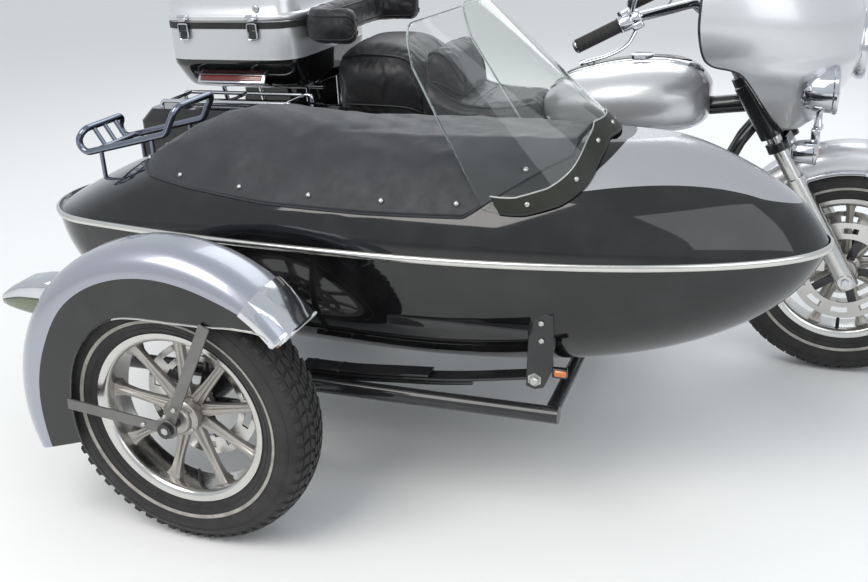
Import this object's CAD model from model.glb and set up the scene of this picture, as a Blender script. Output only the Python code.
"""Touring motorcycle with sidecar: the visible model, laid out as an add-on and run as a script.

Places are written in the machine's own millimetres, as in the part's source: X forwards from the
rear axle, Y to the rider's left from the centre plane, Z up from the ground. at() turns them into
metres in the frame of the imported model.
"""
import math

import bmesh
import bpy
import numpy as np
from mathutils import Matrix, Vector
from mathutils.kdtree import KDTree


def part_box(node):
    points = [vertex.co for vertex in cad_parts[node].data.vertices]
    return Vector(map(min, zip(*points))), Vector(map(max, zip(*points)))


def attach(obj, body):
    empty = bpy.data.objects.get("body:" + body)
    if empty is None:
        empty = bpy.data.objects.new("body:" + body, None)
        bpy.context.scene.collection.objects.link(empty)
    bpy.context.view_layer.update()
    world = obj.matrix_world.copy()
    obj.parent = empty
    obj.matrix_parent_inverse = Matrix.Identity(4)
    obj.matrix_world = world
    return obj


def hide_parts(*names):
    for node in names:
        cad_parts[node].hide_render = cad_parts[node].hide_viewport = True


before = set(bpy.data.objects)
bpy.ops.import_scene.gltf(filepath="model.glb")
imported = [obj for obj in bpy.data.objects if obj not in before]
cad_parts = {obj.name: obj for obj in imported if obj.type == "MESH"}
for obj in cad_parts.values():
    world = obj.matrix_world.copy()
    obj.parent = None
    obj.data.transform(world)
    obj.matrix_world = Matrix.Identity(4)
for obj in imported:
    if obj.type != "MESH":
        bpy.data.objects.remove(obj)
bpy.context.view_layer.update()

bl_info = {
    "name": "Sidecar outfit",
    "version": (1, 0, 0),
    "blender": (4, 5, 0),
    "location": "View3D > Sidebar > Outfit",
    "description": "Builds the visible pieces of a touring motorcycle with a sidecar round its CAD frame",
    "category": "Object",
}

DATUM = Vector((734, -445, 0))
WHEELBASE = 1613.0
TYRE_R = 325.0
HULL_Y = -750.0
HULL_WIDEST_X = 620.0
BELT_Z = 650.0
SHIELD_FOOT = (290.0, 252.0)
FRONT_AXLE = (WHEELBASE, 0.0, TYRE_R)
REAR_AXLE = (0.0, 0.0, TYRE_R)
SIDE_AXLE = (197.0, -1270.0, TYRE_R)
SIDES = ((-1, "right"), (1, "left"))
MACHINE = "machine"
STEERING = "steering"


def at(x, y, z):
    """A point of the machine in metres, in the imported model's frame."""
    return (Vector((x, y, z)) - DATUM) / 1000


# Meshes
def new_piece(name, verts, faces, finish, body, smooth=True):
    """A mesh piece from points in machine millimetres, riding on a body."""
    mesh = bpy.data.meshes.new(name)
    mesh.from_pydata([at(*v) for v in verts], [], faces)
    mesh.validate()
    piece = bpy.data.objects.new(name, mesh)
    bpy.context.collection.objects.link(piece)
    return settle(piece, finish, body, smooth)


def settle(piece, finish, body, smooth=True, sharp=40):
    """Gives a piece its finish, its shading and the body it rides on."""
    mesh = piece.data
    mesh.materials.clear()
    mesh.materials.append(FINISHES[finish])
    mesh.polygons.foreach_set("use_smooth", [smooth] * len(mesh.polygons))
    if smooth:
        mesh.set_sharp_from_angle(angle=math.radians(sharp))
    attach(piece, body)
    return piece


def from_bmesh(bm, name, finish, body, smooth=True, sharp=40):
    """A piece from a bmesh in machine millimetres."""
    bmesh.ops.remove_doubles(bm, verts=bm.verts, dist=0.01)
    bmesh.ops.recalc_face_normals(bm, faces=bm.faces)
    for vert in bm.verts:
        vert.co = at(*vert.co)
    mesh = bpy.data.meshes.new(name)
    bm.to_mesh(mesh)
    bm.free()
    piece = bpy.data.objects.new(name, mesh)
    bpy.context.collection.objects.link(piece)
    return settle(piece, finish, body, smooth, sharp)


def apply_modifiers(piece):
    """Turns a piece and its modifiers into a plain mesh."""
    graph = bpy.context.evaluated_depsgraph_get()
    mesh = bpy.data.meshes.new_from_object(piece.evaluated_get(graph))
    piece.modifiers.clear()
    old = piece.data
    piece.data = mesh
    bpy.data.meshes.remove(old)
    return piece


def grid_faces(rows, columns, close_columns=False, close_rows=False):
    """Quads of a grid of points that is stored row by row."""
    faces = []
    for r in range(rows if close_rows else rows - 1):
        for c in range(columns if close_columns else columns - 1):
            r2, c2 = (r + 1) % rows, (c + 1) % columns
            faces.append((r * columns + c, r * columns + c2, r2 * columns + c2, r2 * columns + c))
    return faces


def sweep_rings(path, outline, up=Vector((0, 0, 1)), closed=False):
    """Rings of an outline (side, up pairs) carried along a path of points."""
    points = [Vector(p) for p in path]
    count = len(points)
    verts = []
    side = None
    for i, p in enumerate(points):
        ahead = points[(i + 1) % count] if closed or i + 1 < count else p
        behind = points[i - 1] if closed or i > 0 else p
        way = (ahead - behind).normalized()
        if side is None:
            side = way.cross(up).normalized()
        side = (side - way * side.dot(way)).normalized()
        top = side.cross(way).normalized()
        verts.extend(p + side * a + top * b for a, b in outline)
    return verts


def circle_outline(radius, count=16):
    """Points of a round outline as pairs, side and up."""
    return [
        (radius * math.cos(t), radius * math.sin(t))
        for t in np.linspace(0, 2 * math.pi, count, endpoint=False)
    ]


def tube_piece(name, path, radius, finish, body, count=14, closed=False, caps=True):
    """A round tube along points."""
    outline = circle_outline(radius, count)
    verts = sweep_rings(path, outline, closed=closed)
    rows = len(path)
    faces = grid_faces(rows, count, close_columns=True, close_rows=closed)
    if caps and not closed:
        faces.append(tuple(range(count)))
        faces.append(tuple((rows - 1) * count + i for i in reversed(range(count))))
    piece = new_piece(name, verts, faces, finish, body)
    recalc(piece)
    return piece


def recalc(piece):
    """Turns every face outwards."""
    bm = bmesh.new()
    bm.from_mesh(piece.data)
    bmesh.ops.recalc_face_normals(bm, faces=bm.faces)
    bm.to_mesh(piece.data)
    bm.free()


def mirrored(path):
    """The points on the other side of the machine's centre plane."""
    return [Vector((p[0], -p[1], p[2])) for p in path]


def spun(bm, profile, centre, axis, steps=64, angle=2 * math.pi, start=None):
    """Adds a profile (radius, along) spun about an axis to a bmesh in machine millimetres."""
    axis = Vector(axis).normalized()
    first = Vector(start) if start else (Vector((0, 0, 1)) if abs(axis.z) < 0.9 else Vector((1, 0, 0)))
    first = (first - axis * first.dot(axis)).normalized()
    other = axis.cross(first)
    full = abs(angle - 2 * math.pi) < 1e-6
    rings = steps if full else steps + 1
    verts = []
    for i in range(rings):
        t = angle * i / steps
        way = first * math.cos(t) + other * math.sin(t)
        verts.append([bm.verts.new(Vector(centre) + way * r + axis * a) for r, a in profile])
    for i in range(steps):
        a, b = verts[i], verts[(i + 1) % rings]
        for j in range(len(profile) - 1):
            quad = [a[j], a[j + 1], b[j + 1], b[j]]
            if len({tuple(round(k, 3) for k in v.co) for v in quad}) >= 3:
                bm.faces.new(quad)
    return verts


def spun_piece(name, profile, centre, axis, finish, body, steps=64, angle=2 * math.pi, start=None, sharp=35):
    """A piece made of one profile spun about an axis."""
    bm = bmesh.new()
    spun(bm, profile, centre, axis, steps, angle, start)
    bmesh.ops.remove_doubles(bm, verts=bm.verts, dist=0.01)
    bmesh.ops.holes_fill(bm, edges=[e for e in bm.edges if e.is_boundary], sides=0)
    return from_bmesh(bm, name, finish, body, sharp=sharp)


def even_profile(half):
    """A closed profile from its half on one side, mirrored to the other side."""
    return [*half, *((r, -a) for r, a in reversed(half)), half[0]]


def outward(angle):
    """The direction at an angle up from the front, in an upright plane along the machine."""
    return Vector((math.cos(angle), 0, math.sin(angle)))


def rounded_box(bm, centre, size, bevel, turn=None, segments=3):
    """Adds a box with rounded edges to a bmesh."""
    matrix = Matrix.Translation(centre) @ (turn.to_4x4() if turn else Matrix()) @ Matrix.Diagonal((*size, 1))
    made = bmesh.ops.create_cube(bm, size=1, matrix=matrix)
    edges = list({e for v in made["verts"] for e in v.link_edges})
    if bevel:
        bmesh.ops.bevel(bm, geom=edges, offset=bevel, segments=segments, affect="EDGES", profile=0.5)


def box_piece(name, centre, size, bevel, finish, body, turn=None, segments=3):
    """A box with rounded edges as a piece."""
    bm = bmesh.new()
    rounded_box(bm, centre, size, bevel, turn, segments)
    return from_bmesh(bm, name, finish, body)


def smooth_path(points, per_span=8, closed=False):
    """Points on a smooth curve through the given ones."""
    pts = [Vector(p) for p in points]
    count = len(pts)
    out = []
    spans = count if closed else count - 1
    for i in range(spans):
        p1, p2 = pts[i], pts[(i + 1) % count]
        p0 = pts[i - 1] if closed or i > 0 else p1 * 2 - p2
        p3 = pts[(i + 2) % count] if closed or i + 2 < count else p2 * 2 - p1
        for k in range(per_span):
            t = k / per_span
            line = 2 * p1 + (p2 - p0) * t
            square = (2 * p0 - 5 * p1 + 4 * p2 - p3) * t * t
            cube = (3 * p1 - p0 - 3 * p2 + p3) * t**3
            out.append(0.5 * (line + square + cube))
    if not closed:
        out.append(pts[-1])
    return out


def level_values(levels, z):
    """The values of a table of levels at height z, on a smooth curve through its rows."""
    heights = [row[0] for row in levels]
    z = min(max(z, heights[0]), heights[-1])
    k = min(max(int(np.searchsorted(heights, z, side="right")) - 1, 0), len(levels) - 2)
    t = (z - heights[k]) / (heights[k + 1] - heights[k])
    out = []
    for column in range(1, len(levels[0])):
        p = [levels[min(max(k + d, 0), len(levels) - 1)][column] for d in (-1, 0, 1, 2)]
        h = heights[k + 1] - heights[k]
        m1 = (p[2] - p[0]) / (heights[k + 1] - heights[max(k - 1, 0)]) * h
        m2 = (p[3] - p[1]) / (heights[min(k + 2, len(levels) - 1)] - heights[k]) * h
        t2, t3 = t * t, t * t * t
        low = (2 * t3 - 3 * t2 + 1) * p[1] + (t3 - 2 * t2 + t) * m1
        out.append(low + (-2 * t3 + 3 * t2) * p[2] + (t3 - t2) * m2)
    return out


# Finishes
class Tree:
    """A material's node tree with short calls for the nodes that the finishes use."""

    def __init__(self, name, colour, roughness, metallic=0.0, coat=0.0, coat_roughness=0.05):
        self.material = bpy.data.materials.new(name)
        self.material.use_nodes = True
        self.nodes = self.material.node_tree.nodes
        self.links = self.material.node_tree.links
        self.shader = self.nodes["Principled BSDF"]
        self.set("Base Color", (*colour, 1.0))
        self.set("Roughness", roughness)
        self.set("Metallic", metallic)
        self.set("Coat Weight", coat)
        self.set("Coat Roughness", coat_roughness)
        self.place = self.nodes.new("ShaderNodeTexCoord").outputs["Object"]

    def set(self, socket, value):
        self.shader.inputs[socket].default_value = value

    def link(self, source, target):
        self.links.new(source, target)
        return source

    def noise(self, scale, detail=4.0, roughness=0.55, place=None):
        node = self.nodes.new("ShaderNodeTexNoise")
        node.inputs["Scale"].default_value = scale
        node.inputs["Detail"].default_value = detail
        node.inputs["Roughness"].default_value = roughness
        self.link(place or self.place, node.inputs["Vector"])
        return node.outputs["Fac"]

    def cells(self, scale, feature="F1"):
        node = self.nodes.new("ShaderNodeTexVoronoi")
        node.feature = feature
        node.inputs["Scale"].default_value = scale
        self.link(self.place, node.inputs["Vector"])
        return node.outputs["Distance"]

    def span(self, source, low, high, to_low=0.0, to_high=1.0):
        node = self.nodes.new("ShaderNodeMapRange")
        for key, value in (("From Min", low), ("From Max", high), ("To Min", to_low), ("To Max", to_high)):
            node.inputs[key].default_value = value
        self.link(source, node.inputs["Value"])
        return node.outputs["Result"]

    def math(self, operation, a, b=None):
        node = self.nodes.new("ShaderNodeMath")
        node.operation = operation
        for socket, value in zip(node.inputs, (a, b)):
            if value is None:
                continue
            if isinstance(value, (int, float)):
                socket.default_value = value
            else:
                self.link(value, socket)
        return node.outputs["Value"]

    def mix(self, factor, a, b):
        node = self.nodes.new("ShaderNodeMix")
        node.data_type = "RGBA"
        for key, value in (("Factor", factor), ("A", a), ("B", b)):
            kind = "VALUE" if key == "Factor" else "RGBA"
            socket = [s for s in node.inputs if s.name == key and s.type == kind][0]
            if isinstance(value, (int, float)):
                socket.default_value = value
            elif isinstance(value, tuple):
                socket.default_value = (*value, 1.0)
            else:
                self.link(value, socket)
        return [s for s in node.outputs if s.type == "RGBA"][0]

    def bump(self, height, strength, distance=0.001):
        node = self.nodes.new("ShaderNodeBump")
        node.inputs["Strength"].default_value = strength
        node.inputs["Distance"].default_value = distance
        self.link(height, node.inputs["Height"])
        old = self.shader.inputs["Normal"].links
        if old:
            self.link(old[0].from_socket, node.inputs["Normal"])
        self.link(node.outputs["Normal"], self.shader.inputs["Normal"])

    def split(self):
        node = self.nodes.new("ShaderNodeSeparateXYZ")
        self.link(self.place, node.inputs["Vector"])
        return node.outputs

    def radius(self, centre):
        """Distance from an axle along Y, in metres."""
        x, _, z = self.split()
        middle = at(*centre)
        dx = self.math("SUBTRACT", x, middle.x)
        dz = self.math("SUBTRACT", z, middle.z)
        return self.math(
            "SQRT", self.math("ADD", self.math("MULTIPLY", dx, dx), self.math("MULTIPLY", dz, dz))
        )


def paint(name, colour, roughness=0.14, metallic=0.0, flake=0.0, dust=0.15, even=False):
    """Coated paint with faint orange peel, flakes where it is metallic, and a little dust."""
    tree = Tree(name, colour, roughness, metallic, coat=1.0, coat_roughness=0.04)
    tree.set("Specular IOR Level", 0.5 if metallic else 0.08)
    soft = tree.noise(9.0, 5.0)
    dusty = tuple(min(1.0, c + 0.045) for c in colour)
    base = tree.mix(tree.span(soft, 0.45, 0.8, 0.0, dust), colour, dusty)
    if flake:
        sparkle = tree.noise(2600.0, 1.0)
        bright = tuple(min(1.0, c * (1 + flake)) for c in colour)
        base = tree.mix(tree.span(sparkle, 0.4, 0.7), base, bright)
    tree.link(base, tree.shader.inputs["Base Color"])
    spread = 0.04 if even else 0.25
    rough = tree.span(tree.noise(60.0, 3.0), 0.3, 0.8, roughness * (1 - spread), roughness * (1 + spread))
    tree.link(rough, tree.shader.inputs["Roughness"])
    if not even:
        tree.bump(tree.noise(420.0, 2.0), 0.02, 0.0002)
    return tree


def metal(name, colour, roughness, grain=0.0, wear=0.12, scale=35.0):
    """Bare or plated metal with smudges, and a fine grain where it is brushed or cast."""
    tree = Tree(name, colour, roughness, 1.0)
    smudge = tree.noise(scale, 6.0, 0.6)
    tree.link(tree.span(smudge, 0.35, 0.75, roughness, roughness + wear), tree.shader.inputs["Roughness"])
    dull = tuple(c * 0.82 for c in colour)
    tree.link(
        tree.mix(tree.span(tree.noise(14.0, 4.0), 0.4, 0.8, 0.0, 0.5), colour, dull),
        tree.shader.inputs["Base Color"],
    )
    if grain:
        tree.bump(tree.noise(900.0, 4.0, 0.7), grain, 0.0004)
    return tree


def soft_black(name, colour, roughness, grain_scale, grain, sheen=0.2, mottled=0.4):
    """Coated cloth, leather or rubber: fine grain, worn and dusty patches, a soft sheen."""
    tree = Tree(name, colour, roughness)
    tree.set("Specular IOR Level", 0.32)
    tree.set("Sheen Weight", sheen)
    tree.set("Sheen Roughness", 0.5)
    patches = tree.noise(11.0, 6.0, 0.65)
    worn = tuple(min(1.0, c * 1.9 + 0.012) for c in colour)
    tree.link(
        tree.mix(tree.span(patches, 0.42, 0.75, 0.0, mottled), colour, worn),
        tree.shader.inputs["Base Color"],
    )
    tree.link(
        tree.span(tree.noise(40.0, 4.0), 0.3, 0.8, roughness * 0.85, min(1.0, roughness * 1.25)),
        tree.shader.inputs["Roughness"],
    )
    tree.bump(tree.cells(grain_scale), grain, 0.0006)
    tree.bump(tree.noise(grain_scale * 0.35, 4.0), grain * 0.6, 0.0008)
    return tree


def lens(name, colour, ribs=0.0):
    """A moulded lamp lens."""
    tree = Tree(name, colour, 0.08, coat=1.0)
    tree.set("Transmission Weight", 0.35)
    tree.set("Emission Color", (*colour, 1.0))
    tree.set("Emission Strength", 0.05)
    if ribs:
        node = tree.nodes.new("ShaderNodeTexWave")
        node.bands_direction = "Z"
        node.inputs["Scale"].default_value = ribs
        tree.link(tree.place, node.inputs["Vector"])
        tree.bump(node.outputs["Fac"], 0.5, 0.001)
    return tree


def clear_sheet(name, tint):
    """A clear plastic that only tints what is behind it."""
    tree = Tree(name, tint, 0.02)
    tree.set("Transmission Weight", 1.0)
    tree.set("IOR", 1.12)
    tree.set("Specular IOR Level", 0.8)
    tree.set("Coat Weight", 0.6)
    tree.link(tree.span(tree.noise(7.0, 8.0, 0.7), 0.35, 0.8, 0.01, 0.07), tree.shader.inputs["Roughness"])
    return tree


def tyre_rubber(name, centre, band_from, band_to, band_colour):
    """Rubber with a pale band on the wall between two radii, and dusty grooves."""
    tree = soft_black(name, (0.022, 0.021, 0.021), 0.75, 700.0, 0.15, sheen=0.08, mottled=0.35)
    reach = tree.radius(centre)
    inside = tree.math("GREATER_THAN", reach, band_from / 1000)
    outside = tree.math("LESS_THAN", reach, band_to / 1000)
    ring = tree.math("MULTIPLY", inside, outside)
    scuffed = tree.math("MULTIPLY", ring, tree.span(tree.noise(30.0, 6.0, 0.7), 0.3, 0.6, 0.55, 1.0))
    base = tree.shader.inputs["Base Color"].links[0].from_socket
    tree.link(tree.mix(scuffed, base, band_colour), tree.shader.inputs["Base Color"])
    return tree


FINISHES = {}


def make_finishes():
    silver = (0.56, 0.565, 0.58)
    FINISHES.update(
        black=paint("gloss black", (0.0045, 0.0045, 0.005), 0.1, dust=0.25).material,
        silver=paint("metallic silver", silver, 0.34, 0.6, flake=0.2, dust=0.1, even=True).material,
        pewter=paint(
            "metallic pewter", (0.3, 0.315, 0.36), 0.3, 0.7, flake=0.2, dust=0.1, even=True
        ).material,
        satin=paint("satin black", (0.012, 0.012, 0.013), 0.42, dust=0.3).material,
        inner=soft_black("underside black", (0.015, 0.015, 0.015), 0.8, 300.0, 0.2).material,
        chrome=metal("chrome", (0.62, 0.63, 0.66), 0.06, wear=0.08).material,
        dark_chrome=metal("smoked chrome", (0.2, 0.22, 0.27), 0.12, wear=0.12).material,
        bright=metal("polished trim", (0.66, 0.65, 0.62), 0.16, wear=0.12).material,
        cast=metal("cast wheel", (0.44, 0.42, 0.39), 0.38, grain=0.25, wear=0.2).material,
        polished=metal("polished rim", (0.6, 0.59, 0.57), 0.14, wear=0.16).material,
        case=metal("engine casting", (0.42, 0.42, 0.42), 0.34, grain=0.3, wear=0.2).material,
        steel=metal("grey steel", (0.22, 0.215, 0.21), 0.45, grain=0.3, wear=0.2).material,
        zinc=metal("zinc bolt", (0.5, 0.5, 0.48), 0.3, grain=0.1).material,
        vinyl=soft_black("coated cover cloth", (0.017, 0.018, 0.021), 0.5, 900.0, 0.22, sheen=0.12).material,
        leather=soft_black("seat leather", (0.010, 0.010, 0.0115), 0.4, 520.0, 0.3, sheen=0.08).material,
        rubber=soft_black("black rubber", (0.018, 0.018, 0.018), 0.7, 500.0, 0.2, sheen=0.1).material,
        strip=soft_black("dark strip", (0.012, 0.0135, 0.009), 0.5, 600.0, 0.1, sheen=0.02).material,
        clear=clear_sheet("clear sheet", (0.93, 0.95, 0.93)).material,
        edge=clear_sheet("sheet edge", (0.75, 0.8, 0.76)).material,
        red=lens("red lens", (0.16, 0.004, 0.004), 60.0).material,
        amber=lens("amber lens", (0.75, 0.2, 0.02), 60.0).material,
        green=lens("smoky lens", (0.16, 0.2, 0.13), 60.0).material,
        glass=lens("lamp glass", (0.85, 0.87, 0.88), 40.0).material,
        dial=Tree("dial face", (0.02, 0.02, 0.022), 0.5).material,
    )
    for name, centre in (("front", FRONT_AXLE), ("rear", REAR_AXLE), ("sidecar", SIDE_AXLE)):
        tree = tyre_rubber(f"{name} tyre rubber", centre, 243.0, 251.0, (0.36, 0.34, 0.31))
        FINISHES[f"{name}_tyre"] = tree.material


CAD_FINISH = {
    "front_tyre": "front_tyre", "rear_tyre": "rear_tyre", "sidecar_tyre": "sidecar_tyre",
    "front_wheel": "cast", "rear_wheel": "cast", "sidecar_wheel": "cast",
    "sidecar_tub": "black", "sidecar_deck": "black", "belt_trim": "bright", "tonneau_cover": "vinyl",
    "sidecar_windshield": "clear", "windshield_strip": "strip", "luggage_rack": "dark_chrome",
    "sidecar_fender": "pewter", "fender_stays": "steel", "marker_lamps": "chrome", "sidecar_frame": "satin",
    "leaf_springs": "satin", "spring_brackets": "satin", "frame": "satin", "engine_cases": "case",
    "cylinders": "case", "air_cleaner": "chrome", "exhaust": "chrome", "swingarm": "satin",
    "shocks": "chrome",
    "rear_fender": "silver", "tail_lamps": "chrome", "fuel_tank": "silver", "tank_console": "chrome",
    "seat": "leather", "backrest": "leather", "trunk_tub": "black", "trunk_lid": "silver",
    "trunk_rack": "chrome", "saddlebag_left": "black", "saddlebag_right": "black",
    "saddlebag_lid_left": "black", "saddlebag_lid_right": "black", "lid_rails_left": "chrome",
    "lid_rails_right": "chrome", "side_covers": "silver", "footboards": "rubber", "engine_guard": "chrome",
    "side_stand": "satin", "stand_bracket": "satin", "sidecar_struts": "satin", "fork": "polished",
    "fork_clamps": "satin", "handlebar": "chrome", "grips": "rubber", "mirrors": "chrome",
    "fairing": "silver", "dash": "inner", "windscreen": "clear", "headlamp": "chrome",
    "front_lamps": "chrome", "front_fender": "silver",
}


class OutfitSettings(bpy.types.PropertyGroup):
    """Sizes and colours that a user would change."""

    tread_depth: bpy.props.FloatProperty(
        name="Tread depth", description="Height of the tread blocks above the carcass",
        default=0.006, unit="LENGTH",
    )
    cover_slack: bpy.props.FloatProperty(
        name="Cover slack", description="Height of the cover's folds", default=0.006, unit="LENGTH"
    )
    floor_colour: bpy.props.FloatVectorProperty(
        name="Floor", description="Colour of the floor and backdrop",
        default=(0.82, 0.82, 0.81), subtype="COLOR",
    )
    light_level: bpy.props.FloatProperty(
        name="Light level", description="Strength of the soft studio light", default=1.0, subtype="FACTOR"
    )


class PieceOperator(bpy.types.Operator):
    """Shared by the operators that build pieces: it runs build() and reports that it finished."""

    bl_options = {"REGISTER", "UNDO"}

    def execute(self, context):
        self.build(context.scene.outfit)
        return {"FINISHED"}


class OUTFIT_OT_finishes(PieceOperator):
    """Make every finish and give the CAD nodes theirs"""

    bl_idname = "outfit.finishes"
    bl_label = "Finishes"

    def build(self, settings):
        make_finishes()
        for node, finish in CAD_FINISH.items():
            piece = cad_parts.get(node)
            if piece is None:
                continue
            for slot in piece.material_slots:
                slot.material = FINISHES[finish]


class OUTFIT_OT_stage(PieceOperator):
    """Place the floor, the soft lamps, the world and the camera"""

    bl_idname = "outfit.stage"
    bl_label = "Stage"

    camera_place = (1465.6, -2985.6, 1439.6)
    yaw, pitch, roll = -20.865, 22.493, -2.910
    focal_px = 1011.4
    image_width = 868

    def build(self, settings):
        self.floor(settings)
        self.lamps(settings)
        self.camera()
        bpy.context.scene.view_settings.view_transform = "Standard"

    def floor(self, settings):
        size = 40.0
        mesh = bpy.data.meshes.new("floor")
        mesh.from_pydata(
            [(-size, -size, 0), (size, -size, 0), (size, size, 0), (-size, size, 0)], [], [(0, 1, 2, 3)]
        )
        floor = bpy.data.objects.new("floor", mesh)
        bpy.context.collection.objects.link(floor)
        pale = tuple(settings.floor_colour)
        tree = Tree("floor", pale, 0.9)
        patches = tree.span(tree.noise(3.0, 6.0), 0.3, 0.8, 0.0, 0.25)
        tree.link(tree.mix(patches, pale, tuple(c * 0.95 for c in pale)), tree.shader.inputs["Base Color"])
        mesh.materials.append(tree.material)

    def lamps(self, settings):
        world = bpy.data.worlds.new("studio")
        bpy.context.scene.world = world
        world.use_nodes = True
        nodes, links = world.node_tree.nodes, world.node_tree.links
        light = nodes["Background"]
        light.inputs["Color"].default_value = (0.9, 0.95, 1.0, 1.0)
        light.inputs["Strength"].default_value = 0.8 * settings.light_level
        seen = nodes.new("ShaderNodeBackground")
        seen.inputs["Color"].default_value = (0.86, 0.87, 0.88, 1.0)
        seen.inputs["Strength"].default_value = 1.0
        path = nodes.new("ShaderNodeLightPath")
        mix = nodes.new("ShaderNodeMixShader")
        links.new(path.outputs["Is Camera Ray"], mix.inputs["Fac"])
        links.new(light.outputs["Background"], mix.inputs[1])
        links.new(seen.outputs["Background"], mix.inputs[2])
        links.new(mix.outputs["Shader"], nodes["World Output"].inputs["Surface"])
        # Columns: name, place, size, power in watts, colour
        lamps = [
            ("key lamp", (-600, -3600, 4200), 3.0, 150.0, (1.0, 0.97, 0.93)),
            ("fill lamp", (3600, -2600, 2600), 3.0, 42.0, (0.95, 0.97, 1.0)),
            ("back lamp", (400, 3200, 3600), 3.4, 70.0, (0.96, 0.98, 1.0)),
        ]
        for name, place, size, power, colour in lamps:
            data = bpy.data.lights.new(name, "AREA")
            data.size = size
            data.energy = power * settings.light_level
            data.color = colour
            lamp = bpy.data.objects.new(name, data)
            lamp.location = at(*place)
            lamp.rotation_euler = (at(700, -500, 500) - lamp.location).to_track_quat("-Z", "Y").to_euler()
            bpy.context.collection.objects.link(lamp)

    def camera(self):
        yaw, pitch, roll = (math.radians(a) for a in (self.yaw, self.pitch, self.roll))
        ahead = Vector((math.sin(yaw) * math.cos(pitch), math.cos(yaw) * math.cos(pitch), -math.sin(pitch)))
        level = Vector((math.cos(yaw), -math.sin(yaw), 0))
        upright = level.cross(ahead)
        right = level * math.cos(roll) + upright * math.sin(roll)
        up = upright * math.cos(roll) - level * math.sin(roll)
        data = bpy.data.cameras.new("camera")
        data.sensor_width = 36.0
        data.lens = self.focal_px * data.sensor_width / self.image_width
        camera = bpy.data.objects.new("camera", data)
        turns = zip(right, up, -ahead)
        rows = [(*row, place) for row, place in zip(turns, at(*self.camera_place))]
        camera.matrix_world = Matrix([*rows, (0, 0, 0, 1)])
        bpy.context.collection.objects.link(camera)
        bpy.context.scene.camera = camera


# Sidecar hull and what lies on it
# Columns: height, nose, tail, half width of the deck's plan outline
DECK_LEVELS = [
    (650, 1545, -450, 295),
    (700, 1515, -350, 290),
    (750, 1470, -240, 268),
    (800, 1400, -110, 225),
    (850, 1305, 30, 165),
    (880, 1215, 150, 100),
]
TAIL_TAPER = math.radians(10.0)


def tail_radii(tail, width):
    """Radii of the slow taper and of the round tail behind the hull's widest place."""
    turn = TAIL_TAPER
    length = HULL_WIDEST_X - tail
    taper = (length * math.cos(turn) - width * (1 - math.sin(turn))) / (
        math.sin(turn) * math.cos(turn) - (1 - math.cos(turn)) * (1 - math.sin(turn))
    )
    return taper, (width - taper * (1 - math.cos(turn))) / math.cos(turn)


def plan_points(nose, tail, width, count=120):
    """Points of a boat-like plan outline: half an ellipse, a slow taper and a round tail."""
    turn = TAIL_TAPER
    taper, round_r = tail_radii(tail, width)
    quarter = count // 4
    half = []
    for t in np.linspace(0, math.pi / 2, quarter, endpoint=False):
        half.append((HULL_WIDEST_X + (nose - HULL_WIDEST_X) * math.cos(t), width * math.sin(t)))
    for t in np.linspace(0, turn, quarter // 2, endpoint=False):
        half.append((HULL_WIDEST_X - taper * math.sin(t), width - taper * (1 - math.cos(t))))
    centre = tail + round_r
    for t in np.linspace(turn, math.pi / 2, quarter // 2 + 1):
        half.append((centre - round_r * math.sin(t), round_r * math.cos(t)))
    return [(x, HULL_Y + w) for x, w in half] + [(x, HULL_Y - w) for x, w in reversed(half[1:-1])]


def deck_height(x, y, levels=DECK_LEVELS):
    """Height of the deck's outer face at a place in plan, found between its outlines."""
    low, high = levels[0][0], levels[-1][0]
    for _ in range(24):
        z = (low + high) / 2
        nose, tail, width = level_values(levels, z)
        if inside_plan(x, y, nose, tail, width):
            low = z
        else:
            high = z
    return low


def inside_plan(x, y, nose, tail, width):
    """Whether a place lies inside a boat-like plan outline."""
    off = abs(y - HULL_Y)
    if x >= HULL_WIDEST_X:
        return ((x - HULL_WIDEST_X) / (nose - HULL_WIDEST_X)) ** 2 + (off / width) ** 2 <= 1
    return off <= plan_width(x, tail, width)


def plan_width(x, tail, width):
    """Half width of a plan outline behind its widest place."""
    taper, round_r = tail_radii(tail, width)
    back = HULL_WIDEST_X - x
    if back <= taper * math.sin(TAIL_TAPER):
        return width - taper + math.sqrt(max(taper**2 - back**2, 0.0))
    return math.sqrt(max(round_r**2 - (x - tail - round_r) ** 2, 0.0)) if x > tail else -1.0


class OUTFIT_OT_belt_trim(PieceOperator):
    """Build the half-round bright trim that runs round the hull's belt"""

    bl_idname = "outfit.belt_trim"
    bl_label = "Belt trim"

    def build(self, settings):
        # Columns: how far out, height, of the half-round section
        bead = [(-1, -8.5), (4, -8), (6.8, -5.5), (7.6, 0), (6.8, 5.5), (4, 8), (-1, 8.5)]
        rings = []
        count = 240
        for out, up in bead:
            nose, tail, width = DECK_LEVELS[0][1:]
            rings.extend(
                (x, y, BELT_Z + up) for x, y in plan_points(nose + out, tail - out, width + out, count)
            )
        columns = len(rings) // len(bead)
        faces = grid_faces(len(bead), columns, close_columns=True, close_rows=True)
        trim = new_piece("belt_trim_bead", rings, faces, "bright", MACHINE)
        recalc(trim)
        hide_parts("belt_trim")


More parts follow.
